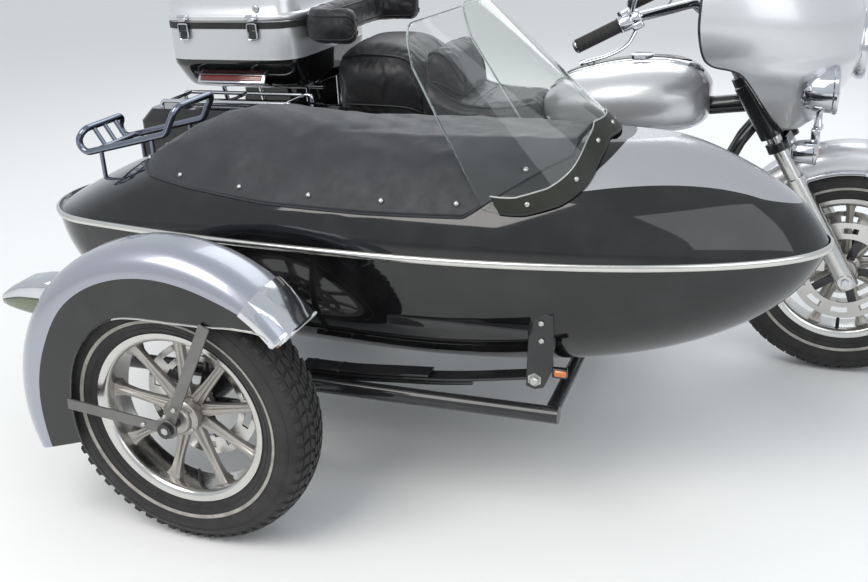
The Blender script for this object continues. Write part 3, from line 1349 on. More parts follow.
class OUTFIT_OT_sidecar_fender(PieceOperator):
    """Build the sidecar's fender, its side panel, its lamps with hoods and lenses, and its flat stays"""

    bl_idname = "outfit.sidecar_fender"
    bl_label = "Sidecar fender"

    angles = (40.0, 197.0)
    half_width = 84.5
    # Columns: angle from the front, radius of the crown
    crown = [(40, 410), (58, 416), (90, 421), (150, 426), (184, 430), (197, 424)]
    inner_edge = 330.0
    # Columns: angle from the front, radius of the lower edge on the outer side
    outer_edge = [
        (40, 372), (50, 369), (66, 358), (90, 356), (128, 356), (150, 346), (170, 347), (188, 352),
        (197, 358),
    ]
    # Columns: angle from the front, radius of the black side panel's lower edge
    panel_edge = [(40, 370), (44, 368), (52, 333), (64, 289), (78, 266), (90, 261), (100, 265), (110, 272),
                  (122, 274), (140, 268), (160, 261), (175, 258), (197, 262)]

    def section_at(self, degrees):
        edge = level_values(self.outer_edge, degrees)[0]
        return fender_section(self.half_width, level_values(self.crown, degrees)[0], edge, self.inner_edge)

    def build(self, settings):
        fender = fender_piece(
            "sidecar_fender_shell", SIDE_AXLE, self.angles, self.section_at, "pewter", MACHINE
        )
        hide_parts("sidecar_fender")
        bead = edge_bead(
            "sidecar_fender_edge_left", SIDE_AXLE, self.angles, 1, self.section_at, 2.2, "pewter", MACHINE
        )
        self.side_panel()
        self.nose_lamp()
        self.tail_lamp()
        self.stays()

    def side_panel(self):
        """The black panel below the painted crown, with a rolled edge that is bright in front."""
        turns = np.linspace(41.0, 197.0, 79)
        verts = []
        for across in (-self.half_width + 0.2, -self.half_width + 2.4):
            for degrees in turns:
                top = level_values(self.outer_edge, degrees)[0] + 5.0
                foot = level_values(self.panel_edge, degrees)[0]
                for t in np.linspace(0, 1, 5):
                    verts.append(
                        fender_point(SIDE_AXLE, math.radians(degrees), across, top + (foot - top) * t)
                    )
        half = len(verts) // 2
        outer = grid_faces(len(turns), 5)
        faces = outer + [tuple(half + i for i in reversed(face)) for face in outer]
        for r in range(len(turns) - 1):
            for c in (0, 4):
                a, b = r * 5 + c, (r + 1) * 5 + c
                faces.append((a, b, half + b, half + a))
        for r in (0, (len(turns) - 1) * 5):
            faces.extend((r + c, r + c + 1, half + r + c + 1, half + r + c) for c in range(4))
        panel = new_piece("sidecar_fender_side", verts, faces, "black", MACHINE)
        recalc(panel)
        edge = lambda degrees: [(-self.half_width, level_values(self.panel_edge, degrees)[0])]
        for word, angles, finish in (("front", (41, 112), "bright"), ("rear", (112, 197), "black")):
            bead = edge_bead(
                f"sidecar_fender_side_edge_{word}", SIDE_AXLE, angles, -1, edge, 2.3, finish, MACHINE
            )

    def nose_lamp(self):
        """The bright ribbed lamp that closes the fender's front edge."""
        base = math.radians(self.angles[0])
        ahead = Vector((math.sin(base), 0, -math.cos(base)))
        middle = 386.0
        section = fender_section(self.half_width + 0.8, self.crown[0][1] + 1.0, 362.0)
        hood = lambda degrees: fender_section(
            self.half_width + 1.2, level_values(self.crown, degrees)[0] + 1.4, 364.0
        )
        cap = fender_piece(
            "sidecar_nose_hood", SIDE_AXLE, (39.0, 54.0), hood, "chrome", MACHINE, "chrome", 1.5, 14
        )
        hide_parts("marker_lamps")
        bm = bmesh.new()
        rings = []
        for depth, shrink in ((0, 1), (5, 0.99), (9, 0.96), (12.5, 0.9), (13.5, 0.82)):
            ring = []
            for across, radius in section:
                p = fender_point(SIDE_AXLE, base, across * shrink, middle + (radius - middle) * shrink)
                ring.append(bm.verts.new(p + ahead * depth))
            rings.append(ring)
        for a, b in zip(rings, rings[1:]):
            for k in range(len(a)):
                j = (k + 1) % len(a)
                bm.faces.new((a[k], a[j], b[j], b[k]))
        bm.faces.new(rings[-1])
        bm.faces.new(list(reversed(rings[0])))
        from_bmesh(bm, "sidecar_nose_lamp", "chrome", MACHINE)
        for k, radius in enumerate((403, 395, 387, 379, 371)):
            reach = 0.86 * self.half_width * (0.72 if k == 0 else 1.0)
            path = [
                fender_point(SIDE_AXLE, base, a, radius) + ahead * 12.0
                for a in np.linspace(-reach, reach, 12)
            ]
            colour = "amber" if k == 4 else "glass"
            tube_piece(f"sidecar_nose_rib_{k}", path, 3.6, colour, MACHINE, count=10)

    def tail_lamp(self):
        """A bright wedge of a lamp on the fender's back, with a smoky lens under its hood."""
        # Columns: x and z of the upper edge, x and z of the lower edge, half width
        wedge = [
            (-80, 622, -160, 534, 40), (-95, 632, -170, 536, 40), (-140, 629, -190, 539, 39),
            (-182, 621, -213, 543, 37),
                 (-222, 602, -236, 548, 33), (-250, 583, -254, 553, 27), (-264, 570, -265, 558, 18)]
        for word, upper, lower, shrink, finish in (
            ("hood", 0, 0.6, 0, "chrome"), ("lens", 0.5, 1, 1.6, "green")
        ):
            rings = []
            for x1, z1, x2, z2, width in wedge:
                top, foot = Vector((x1, SIDE_AXLE[1], z1)), Vector((x2, SIDE_AXLE[1], z2))
                high, low = top.lerp(foot, upper), top.lerp(foot, lower)
                rings.append(
                    oval((high + low) / 2, (low - high) / 2, Vector((0, width - shrink, 0)), 3.4, 56)
                )
            loft_piece(f"sidecar_tail_{word}", rings, finish, MACHINE)

    def stays(self):
        """Two flat bars from the hub to the side panel's edge, with an eye, a nut and bolts."""
        hub_at = Vector(SIDE_AXLE) + Vector((0, -90.3, 0))
        bars, nuts = bmesh.new(), bmesh.new()
        nut = [(0, 14.5), (9, 14), (12, 11), (12, 7), (15.6, 6.6), (17, 4), (17, 0), (0, 0)]
        bolt = [(0, 6), (5.2, 5.6), (6.4, 4), (6.4, -1), (0, -1)]
        spun(nuts, nut, hub_at, (0, -1, 0), steps=6)
        for degrees, reach in ((63, 296), (174, 264)):
            angle = math.radians(degrees)
            turn = Matrix.Rotation(-angle, 3, "Y")
            place = hub_at + outward(angle) * (reach / 2 + 8)
            rounded_box(bars, place, (reach - 16, 6.4, 27.0), 2.0, turn, 2)
            spun(nuts, bolt, hub_at + outward(angle) * 60.0 + Vector((0, -3.2, 0)), (0, -1, 0), steps=6)
        bars = from_bmesh(bars, "fender_stay_bars", "steel", MACHINE)
        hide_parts("fender_stays")
        ring = even_profile([(13, -4), (22, -4), (24, -2)])
        eye = spun_piece("fender_stay_eye", ring, hub_at, (0, 1, 0), "steel", MACHINE, steps=40)
        bolts = from_bmesh(nuts, "fender_stay_bolts", "zinc", MACHINE, sharp=25)


class OUTFIT_OT_springs(PieceOperator):
    """Build the leaf springs with their eyes, bolts, straps and brackets, and the small marker"""

    bl_idname = "outfit.springs"
    bl_label = "Leaf springs"

    eye = (945.0, 370.0)
    # Centre line of the main leaf from its clamp to its eye, as x and z
    leaf = [(347, 315), (475, 316), (600, 325), (700, 333), (780, 343), (860, 356), (925, 367)]

    def build(self, settings):
        for side, word in SIDES:
            y = HULL_Y + side * 232.5
            self.leaves(y, side, word)
            self.bracket(y, side, word)
        self.marker()

    def leaves(self, y, side, word):
        bm = bmesh.new()
        for length, drop in ((1, 0), (0.72, -9), (0.5, 9.5)):
            points = smooth_path([(x, y, z + drop) for x, z in self.leaf], 6)
            points = points[: max(3, int(len(points) * length))]
            outline = [(-22, -3.4), (22, -3.4), (22.4, 0), (22, 3.4), (-22, 3.4), (-22.4, 0)]
            rings = sweep_rings(points, outline)
            verts = [bm.verts.new(v) for v in rings]
            for face in grid_faces(len(points), 6, close_columns=True):
                bm.faces.new([verts[i] for i in face])
            bm.faces.new([verts[i] for i in range(6)])
            bm.faces.new([verts[-6 + i] for i in reversed(range(6))])
        eye = even_profile([(9, -22), (16.5, -22), (17.6, -20)])
        spun(bm, eye, (self.eye[0], y, self.eye[1]), (0, 1, 0), steps=32)
        for x in (372.0, 448.0):
            rounded_box(bm, Vector((x, y, 315)), (14, 44.8, 30), 2, None, 2)
        spring = from_bmesh(bm, f"leaf_spring_{word}", "satin", MACHINE)
        if side < 0:
            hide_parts("leaf_springs")

    def bracket(self, y, side, word):
        bm = bmesh.new()
        face_y = y + side * 27.2
        outline = [
            (925, 352), (945, 346), (965, 352), (975, 372), (988, 402), (989, 533), (936, 534), (927, 402)
        ]
        near = [bm.verts.new((x, face_y + 2.8, z)) for x, z in outline]
        far = [bm.verts.new((x, face_y - 2.8, z)) for x, z in outline]
        bm.faces.new(near)
        bm.faces.new(list(reversed(far)))
        for k in range(len(outline)):
            j = (k + 1) % len(outline)
            bm.faces.new((near[k], near[j], far[j], far[k]))
        plate = from_bmesh(bm, f"spring_plate_{word}", "satin", MACHINE, sharp=30)
        bevel = plate.modifiers.new("soft edges", "BEVEL")
        bevel.width = 0.0012
        bevel.segments = 2
        apply_modifiers(plate)
        bm = bmesh.new()
        # Columns: start, end, bottom and top of a pad, half width of the hull at its height
        for x0, x1, z0, z1, hull_half in ((936, 988, 442, 532, 268), (602, 938, 482, 504, 292)):
            x = (x0 + x1) / 2
            inner_y = HULL_Y + side * hull_half * math.sqrt(max(0.0, 1 - ((x - HULL_WIDEST_X) / 880.0) ** 2))
            place = Vector((x, (inner_y + face_y) / 2 - side * 6, (z0 + z1) / 2))
            rounded_box(bm, place, (x1 - x0, abs(face_y - inner_y) + 10, z1 - z0), 3.0, None, 2)
        pads = from_bmesh(bm, f"spring_pads_{word}", "satin", MACHINE)
        if side < 0:
            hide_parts("spring_brackets")
        bm = bmesh.new()
        nut = [(0, 12), (8, 12), (11.5, 9), (11.5, 0), (17, 0), (17, -2), (0, -2)]
        bolt = [(0, 6.5), (5, 6), (7, 4), (7, -1), (0, -1)]
        for profile, (x, z) in ((nut, self.eye), (bolt, (962, 512)), (bolt, (962, 470))):
            spun(bm, profile, (x, face_y + side * 3.0, z), (0, side, 0), steps=6)
        from_bmesh(bm, f"spring_bolts_{word}", "zinc", MACHINE, sharp=25)

    def marker(self):
        body = box_piece("side_marker_case", (1004, -1014, 396), (34, 16, 24), 4, "satin", MACHINE)
        face = box_piece("side_marker_lens", (1006, -1020, 397), (28, 10, 16), 4, "amber", MACHINE)


# Lofted shells and pads
def oval(centre, a, b, power=2.0, count=72, lower=None):
    """A closed ring round a centre. a and b are half axes; lower replaces b on the far side."""
    centre, a, b = Vector(centre), Vector(a), Vector(b)
    low = Vector(lower) if lower else b
    ring = []
    for t in np.linspace(0, 2 * math.pi, count, endpoint=False):
        c, s = math.cos(t), math.sin(t)
        aside = math.copysign(abs(c) ** (2 / power), c)
        high = abs(s) ** (2 / power)
        ring.append(centre + a * aside + (b * high if s >= 0 else low * -high))
    return ring


def loft_piece(name, rings, finish, body, sharp=40, caps=True, closed=False):
    """A surface through rings with equal counts of points."""
    count = len(rings[0])
    faces = grid_faces(len(rings), count, close_columns=True, close_rows=closed)
    if caps and not closed:
        faces.append(tuple(range(count)))
        faces.append(tuple((len(rings) - 1) * count + i for i in range(count)))
    piece = new_piece(name, [p for ring in rings for p in ring], faces, finish, body, True)
    recalc(piece)
    piece.data.set_sharp_from_angle(angle=math.radians(sharp))
    return piece


def shell_piece(name, outer, inner, finish, inner_finish, body, sharp=40):
    """A hollow box or bowl: rings from its mouth to its closed end, outside and inside."""
    piece = loft_piece(name, list(reversed(outer)) + list(inner), finish, body, sharp)
    piece.data.materials.append(FINISHES[inner_finish])
    count = len(outer[0])
    first_inner = len(outer) * count
    for face in piece.data.polygons:
        if min(face.vertices) >= first_inner:
            face.material_index = 1
    return piece


def plump(piece, seams, pressure=4.0, frames=16, limit=0.009, voxel=0.006, growth=-0.03):
    """Fills a cushion: its cover is blown up as cloth between its seams, then smoothed."""
    remesh = piece.modifiers.new("remesh", "REMESH")
    remesh.mode = "VOXEL"
    remesh.voxel_size = voxel
    apply_modifiers(piece)
    finish = piece.data.materials[0] if piece.data.materials else FINISHES["leather"]
    tree = KDTree(sum(len(s) for s in seams))
    for k, point in enumerate(p for seam in seams for p in seam):
        tree.insert(at(*point), k)
    tree.balance()
    rest = [v.co.copy() for v in piece.data.vertices]
    held = piece.vertex_groups.new(name="held")
    for k, co in enumerate(rest):
        distance = tree.find(co)[2]
        if distance < 0.011:
            held.add([k], 1.0 if distance < 0.008 else 0.5, "REPLACE")
    cloth = piece.modifiers.new("cloth", "CLOTH").settings
    cloth.quality = 5
    cloth.mass = 0.25
    cloth.tension_stiffness = 18
    cloth.compression_stiffness = 18
    cloth.shear_stiffness = 6
    cloth.bending_stiffness = 0.4
    cloth.use_pressure = True
    cloth.uniform_pressure_force = pressure
    cloth.vertex_group_mass = "held"
    cloth.shrink_min = growth
    cloth.effector_weights.gravity = 0
    scene = bpy.context.scene
    for number in range(1, frames + 1):
        scene.frame_set(number)
    apply_modifiers(piece)
    scene.frame_set(1)
    for vert, old in zip(piece.data.vertices, rest):
        move = vert.co - old
        if move.length > limit:
            vert.co = old + move * (limit / move.length)
    soften = piece.modifiers.new("smooth", "SMOOTH")
    soften.factor = 0.5
    soften.iterations = 2
    finer = piece.modifiers.new("finer", "SUBSURF")
    finer.levels = 1
    apply_modifiers(piece)
    piece.vertex_groups.clear()
    piece.data.materials.clear()
    piece.data.materials.append(finish)
    piece.data.polygons.foreach_set("use_smooth", [True] * len(piece.data.polygons))
    return piece


def stitches(name, paths, finish, body, pitch=9.0, length=5.0, thick=0.7):
    """Short threads set along lines, as on a sewn seam."""
    bm = bmesh.new()
    for path in paths:
        points = [Vector(p) for p in path]
        walked = 0.0
        for a, b in zip(points, points[1:]):
            span = (b - a).length
            while walked < span:
                spot = a.lerp(b, walked / span)
                turn = (b - a).to_track_quat("X", "Z").to_matrix()
                rounded_box(bm, spot, (length, thick * 2, thick * 2), 0, turn)
                walked += pitch
            walked -= span
    return from_bmesh(bm, name, finish, body, smooth=False)


class OUTFIT_OT_seat(PieceOperator):
    """Build the two-part seat and the wrap-round backrest as filled, sewn pads"""

    bl_idname = "outfit.seat"
    bl_label = "Seat and backrest"

    # Columns: place along the machine, half width, bottom, top
    pillion = [
        (104, 128, 742, 925), (116, 160, 732, 948), (150, 180, 729, 963), (210, 187, 728, 969),
        (290, 189, 728, 966), (335, 188, 728, 955), (366, 184, 729, 925), (386, 176, 732, 880),
        (396, 150, 742, 835),
    ]
    rider = [
        (378, 150, 738, 862), (392, 178, 730, 878), (420, 188, 728, 868), (455, 189, 728, 838),
        (500, 188, 728, 812), (560, 184, 728, 800), (630, 172, 728, 797), (690, 146, 729, 802),
        (716, 118, 732, 802), (726, 90, 742, 792),
    ]

    lumbar = [
        (388, 120, 842, 925), (398, 152, 838, 948), (418, 168, 830, 961), (440, 170, 824, 960),
        (462, 164, 818, 938), (482, 152, 812, 896), (496, 132, 808, 858), (503, 104, 806, 832),
    ]

    def rings(self, table, shrink=0.0):
        rings = []
        xs = np.linspace(table[0][0], table[-1][0], 34)
        for x in xs:
            half, low, high = level_values(table, float(x))
            middle = low + (high - low) * 0.5
            up, down = high - middle - shrink, middle - low
            rings.append(oval((x, 0, middle), (0, half - shrink, 0), (0, 0, up), 3.4, 72, lower=(0, 0, down)))
        return rings

    def line(self, table, share):
        """A line along a pad's side at a share of its ring."""
        return [ring[int(share * len(ring)) % len(ring)] for ring in self.rings(table)]

    def build(self, settings):
        for name, table in (("pillion", self.pillion), ("rider", self.rider), ("lumbar", self.lumbar)):
            rings = self.rings(table, 2.5)
            pad = loft_piece(f"seat_{name}_pad", rings, "leather", MACHINE, sharp=60)
            upper = [self.line(table, 0.1)[2:-2], self.line(table, 0.4)[2:-2]]
            lower = [self.line(table, 0.955)[1:-1], self.line(table, 0.545)[1:-1]]
            seams = [smooth_path(path, 4) for path in upper + lower]
            if name == "rider":
                seams.append(smooth_path(rings[9][8:29], 4))
                seams.append(smooth_path(rings[15][8:29], 4))
            plump(pad, seams)
            if name == "pillion":
                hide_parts("seat")
            for k, seam in enumerate(seams):
                welt = tube_piece(f"seat_{name}_welt_{k}", seam, 2.6, "leather", MACHINE, count=8)
            lines = [[p + Vector((0, 0, 5.0)) for p in seam] for seam in seams[:2]]
            stitches(f"seat_{name}_stitches", lines, "rubber", MACHINE)
        self.backrest()

    def backrest(self):
        """One long pad bent round the passenger: back cushion in the middle, arm wings at its ends."""
        bend = [
            (224, -252), (196, -254), (150, -253), (106, -240), (80, -205), (74, -140), (73, -70), (73, 0)
        ]
        half = [Vector((x, y, 0)) for x, y in bend]
        path = smooth_path(half + mirrored(reversed(half[:-1])), 5)
        count = len(path)
        rings = []
        for k, p in enumerate(path):
            ahead = (path[min(k + 1, count - 1)] - path[max(k - 1, 0)]).normalized()
            across = Vector((ahead.y, -ahead.x, 0))
            end = min(k, count - 1 - k) / 5.0
            size = min(1, 0.45 + 0.55 * math.sqrt(min(end, 1) * (2 - min(end, 1))))
            rings.append(oval((p.x, p.y, 1038), across * 29.0 * size, (0, 0, 49.5 * size), 3.0, 48))
        pad = loft_piece("backrest_pad", rings, "leather", MACHINE, sharp=60)
        # Upper outer, upper inner, lower outer and lower inner seam
        seams = [[ring[k] for ring in rings] for k in (20, 4, 29, 43)]
        for place in (0.3, 0.7):
            k = int(count * place)
            seams.append(rings[k][:12] + rings[k][-8:])
        plump(pad, seams)
        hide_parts("backrest")
        for k, seam in enumerate(seams[:4]):
            tube_piece(f"backrest_welt_{k}", seam, 2.6, "leather", MACHINE, count=8)
        lines = [[p + Vector((0, 0, -5.5)) for p in seam] for seam in seams[:2]]
        stitches("backrest_stitches", lines, "rubber", MACHINE)


class OUTFIT_OT_trunk(PieceOperator):
    """Build the trunk's tub and lid, its seal band, latches, lock and side lights"""

    bl_idname = "outfit.trunk"
    bl_label = "Trunk"

    middle_x = -192.0
    seam_z = 1056.5
    two_tone_z = 944.0
    corner = 6.5
    # Columns: height, half length, half width
    tub = [
        (1056, 227, 287), (1050, 228, 288), (1000, 228, 288), (946, 228, 288), (942, 228, 288),
        (926, 227, 286), (918, 226, 280), (880, 224, 244), (856, 221, 221), (847, 216, 210),
        (843, 206, 198),
    ]
    lid = [
        (1058.5, 230, 290), (1062, 231.5, 291.5), (1070, 231.5, 291.5), (1074, 229, 289), (1078, 225, 285),
        (1105, 222, 281), (1135, 219, 278), (1155, 215, 273), (1172, 206, 264), (1183, 192, 250),
        (1188.5, 172, 230), (1189.8, 140, 200),
    ]

    def ring(self, row, inset=0.0):
        z, length, width = row
        return oval((self.middle_x, 0, z), (length - inset, 0, 0), (0, width - inset, 0), self.corner, 96)

    def band(self, name, rows, finish, body):
        return loft_piece(name, [self.ring(row) for row in rows], finish, body, closed=True)

    def build(self, settings):
        inside = [self.ring(row, 4.0) for row in self.tub[:-1]] + [self.ring((848, 216, 206), 4.0)]
        tub = shell_piece(
            "trunk_body", [self.ring(row) for row in self.tub], inside, "silver", "inner", MACHINE
        )
        tub.data.materials.append(FINISHES["black"])
        for face in tub.data.polygons:
            if face.material_index == 0 and face.center.z < self.two_tone_z / 1000:
                face.material_index = 2
        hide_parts("trunk_tub")
        inside = [self.ring(row, 4.0) for row in self.lid[1:-1]] + [self.ring((1185, 138, 196), 4.0)]
        lid = shell_piece(
            "trunk_lid_body_shell", [self.ring(row) for row in self.lid], inside, "silver", "inner",
            "trunk_lid_body",
        )
        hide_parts("trunk_lid")
        seal = self.band(
            "trunk_seal", [(1034, 228, 288), (1035, 230.5, 290.5), (1053, 230.5, 290.5), (1054, 228, 288)],
            "rubber", MACHINE,
        )
        line = self.band(
            "trunk_two_tone_bead",
            [(942, 227, 287), (943.2, 229.2, 289.2), (945.2, 229.2, 289.2), (946.4, 227, 287)], "silver",
            MACHINE,
        )
        for k, x in enumerate((-328.0, -92.0)):
            self.latch(k, x)
        lock = bmesh.new()
        spun(
            lock, [(0, 7.5), (5.5, 7.5), (6, 5), (7, 5), (9.5, 4), (11.5, 0), (0, -3)], (-80, -284, 1092),
            (0, -1, 0.06), steps=28,
        )
        rounded_box(lock, Vector((-80, -293.5, 1092.6)), (1.6, 2.0, 7.0), 0)
        from_bmesh(lock, "trunk_lock", "chrome", "trunk_lid_body")
        self.side_lights()

    def latch(self, k, x):
        """A hooked clasp: a bright cap on the lid, a dark lever with its bail on the tub."""
        cap = bmesh.new()
        rounded_box(cap, Vector((x, -293.5, 1068)), (40, 9, 15), 3.0)
        rounded_box(cap, Vector((x, -296.5, 1062)), (24, 9, 11), 3.0)
        from_bmesh(cap, f"trunk_clasp_cap_{k}", "chrome", "trunk_lid_body")
        lever = bmesh.new()
        rounded_box(lever, Vector((x, -293.5, 1038)), (36, 9, 26), 3.5)
        rounded_box(lever, Vector((x, -295.0, 1018)), (27, 9, 30), 4.4)
        from_bmesh(lever, f"trunk_clasp_lever_{k}", "satin", MACHINE)
        half = [(-15, -299, 1012), (-15, -300, 1044), (-11, -300.5, 1050)]
        loop = half + [(-a, y, z) for a, y, z in reversed(half)] + [(10, -299, 1005), (-10, -299, 1005)]
        path = smooth_path([(x + a, y, z) for a, y, z in loop], 4, closed=True)
        bail = tube_piece(f"trunk_clasp_bail_{k}", path, 2.2, "chrome", MACHINE, count=8, closed=True)

    def side_lights(self):
        """A long red bar in a bright frame on each lower side of the trunk."""
        for side, word in SIDES:
            tilt = Matrix.Rotation(side * math.radians(33.0), 3, "X")
            middle = Vector((-205, side * 256, 878))
            frame_bar = box_piece(
                f"trunk_light_frame_{word}", middle, (236, 16, 34), 5.0, "chrome", MACHINE, tilt
            )
            bar = box_piece(
                f"trunk_light_{word}", middle + tilt @ Vector((0, side * 6.5, 0)), (216, 9, 20), 4.0, "red",
                MACHINE, tilt,
            )


class OUTFIT_OT_fairing(PieceOperator):
    """Build the fairing with its screen and dials, the headlamp, passing lamps and turn signals"""

    bl_idname = "outfit.fairing"
    bl_label = "Fairing and lamps"

    # Columns: height, front of the bow, rear edge, half width
    shell = [
        (754, 1478, 1408, 158), (776, 1504, 1396, 182), (800, 1526, 1380, 210), (850, 1560, 1356, 270),
        (900, 1584, 1332, 324), (936, 1594, 1312, 366), (952, 1597, 1286, 380), (964, 1598, 1240, 390),
        (990, 1598, 1218, 408), (1050, 1595, 1208, 428), (1100, 1577, 1208, 428), (1150, 1549, 1212, 417),
        (1195, 1514, 1222, 385), (1230, 1487, 1234, 344), (1262, 1452, 1262, 280), (1275, 1438, 1274, 245),
    ]
    screen = [
        (1252, 1446, 1320, 236), (1330, 1424, 1306, 232), (1410, 1392, 1292, 226), (1462, 1366, 1280, 216),
        (1487, 1348, 1272, 196),
    ]

    def bow(self, row, wall, power=2.3, count=61):
        z, front, rear, half = row
        ring = []
        for inset in (0.0, wall):
            line = []
            for t in np.linspace(-math.pi / 2, math.pi / 2, count):
                c, s = math.cos(t), math.sin(t)
                y = (half - inset) * math.copysign(abs(s) ** (2 / power), s)
                line.append((rear + (front - inset - rear) * abs(c) ** (2 / power), y, z))
            ring += line if inset == 0 else line[::-1]
        return ring

    def skin(self, name, table, wall, finish, levels, power=2.3):
        rings = []
        for z in np.linspace(table[0][0], table[-1][0], levels):
            rings.append(self.bow((z, *level_values(table, float(z))), wall, power))
        return loft_piece(name, rings, finish, STEERING, sharp=50)

    def build(self, settings):
        shell = self.skin("fairing_shell", self.shell, 4.5, "silver", 54)
        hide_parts("fairing")
        screen = self.skin("fairing_screen", self.screen, 3.2, "clear", 20, 2.1)
        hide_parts("windscreen")
        z, front, rear, half = self.screen[0]
        rim = self.bow((z + 4, front + 2.5, rear, half + 2.5), 0.5, 2.1)[:61]
        tube_piece("fairing_screen_lower_trim", rim, 4.5, "chrome", STEERING, count=8)
        edge = [Vector(p) for p in self.bow(self.screen[-1], 1.6, 2.1)[61:]]
        tube_piece("fairing_screen_edge", edge, 2.4, "edge", STEERING, count=8)
        self.rear_bead()
        self.headlamp()
        for side, word in SIDES:
            self.passing_lamp(side, word)
        self.lamp_bar()
        self.dials()

    def rear_bead(self):
        for side, word in SIDES:
            path = [(row[2] + 1, side * (row[3] - 2.2), row[0]) for row in self.shell]
            bead = tube_piece(f"fairing_edge_{word}", smooth_path(path, 5), 3.6, "satin", STEERING, count=8)

    def headlamp(self):
        centre = (1598, 0, 958)
        ring = spun_piece(
            "headlamp_rim",
            [(80, -16), (89, -18), (94, -10), (93.5, 2), (89, 9), (83, 10), (80, 6), (80, -16)], centre,
            (1, 0, 0), "chrome", STEERING, 72,
        )
        bowl = spun_piece(
            "headlamp_bowl",
            [(0, -70), (44, -62), (70, -42), (84, -12), (84, -4), (80, -4), (66, -36), (40, -54), (0, -62)],
            centre, (1, 0, 0), "chrome", STEERING, 64,
        )
        bulb = spun_piece(
            "headlamp_bulb_cap", [(0, -20), (12, -22), (16, -30), (16, -56), (0, -60)], centre, (1, 0, 0),
            "chrome", STEERING, 32,
        )
        glass = spun_piece(
            "headlamp_glass", [(0, 17), (30, 15.5), (56, 11), (74, 5), (81, 0), (81, -4), (0, -1)], centre,
            (1, 0, 0), "clear", STEERING, 64,
        )
        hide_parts("headlamp")

    def passing_lamp(self, side, word):
        centre = (1501, side * 271, 888)
        shell = [
            (0, -56), (18, -55), (34, -48), (47, -34), (54, -14), (57, 8), (58, 26), (61, 29), (61.5, 36),
            (58, 40), (53, 40), (53, 30), (0, 24),
        ]
        lamp = spun_piece(f"passing_lamp_{word}", shell, centre, (1, 0, 0), "chrome", STEERING, 56)
        glass = spun_piece(
            f"passing_lamp_glass_{word}", [(0, 45), (28, 43.5), (46, 39), (53, 34), (53, 30), (0, 30)],
            centre, (1, 0, 0), "glass", STEERING, 56,
        )
        if side < 0:
            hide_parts("front_lamps")
        centre = (1474, side * 294, 733)
        body = [
            (0, -36), (14, -35), (24, -28), (29, -16), (31, 4), (31.5, 20), (33.5, 22), (33.5, 28),
            (30, 30), (27, 30), (27, 20), (0, 18),
        ]
        signal = spun_piece(f"front_signal_{word}", body, centre, (1, 0, 0), "chrome", STEERING, 44)
        face = spun_piece(
            f"front_signal_lens_{word}", [(0, 34), (14, 33), (24, 30), (27, 26), (27, 20), (0, 20)], centre,
            (1, 0, 0), "amber", STEERING, 44,
        )
        mount = bmesh.new()
        spun(
            mount, [(0, 0), (9, 0), (12, 4), (12, 12), (8, 18), (8, 46), (0, 46)], (1501, side * 271, 786),
            (0, 0, 1), steps=24,
        )
        rounded_box(mount, Vector((1496, side * 280, 768)), (22, 26, 46), 5.0)
        from_bmesh(mount, f"passing_lamp_mount_{word}", "chrome", STEERING)

    def lamp_bar(self):
        half = [(1484, -286, 746), (1497, -262, 752), (1500, -180, 742), (1500, -90, 737)]
        path = smooth_path([*half, (1500, 0, 736), *mirrored(half[::-1])], 6)
        tube_piece("front_lamp_bar", path, 8.5, "chrome", STEERING)

    def dials(self):
        """Two large and four small dials with bright rims on the dash behind the fairing."""
        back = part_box("dash")[0][0] * 1000 + DATUM.x - 1.0
        dials = [
            (-75, 1120, 42), (75, 1120, 42), (-182, 1105, 25), (-250, 1090, 25), (182, 1105, 25),
            (250, 1090, 25),
        ]
        for k, (y, z, r) in enumerate(dials):
            rim = spun_piece(
                f"dial_rim_{k}", [(r - 3, -2), (r, -2), (r + 2, 3), (r, 8), (r - 4, 8), (r - 3, -2)],
                (back, y, z), (-1, 0, 0), "chrome", STEERING, 40,
            )
            face = spun_piece(
                f"dial_face_{k}", [(0, -2), (r - 2, -2), (r - 2, 2), (0, 2)], (back, y, z), (-1, 0, 0),
                "dial", STEERING, 40,
            )


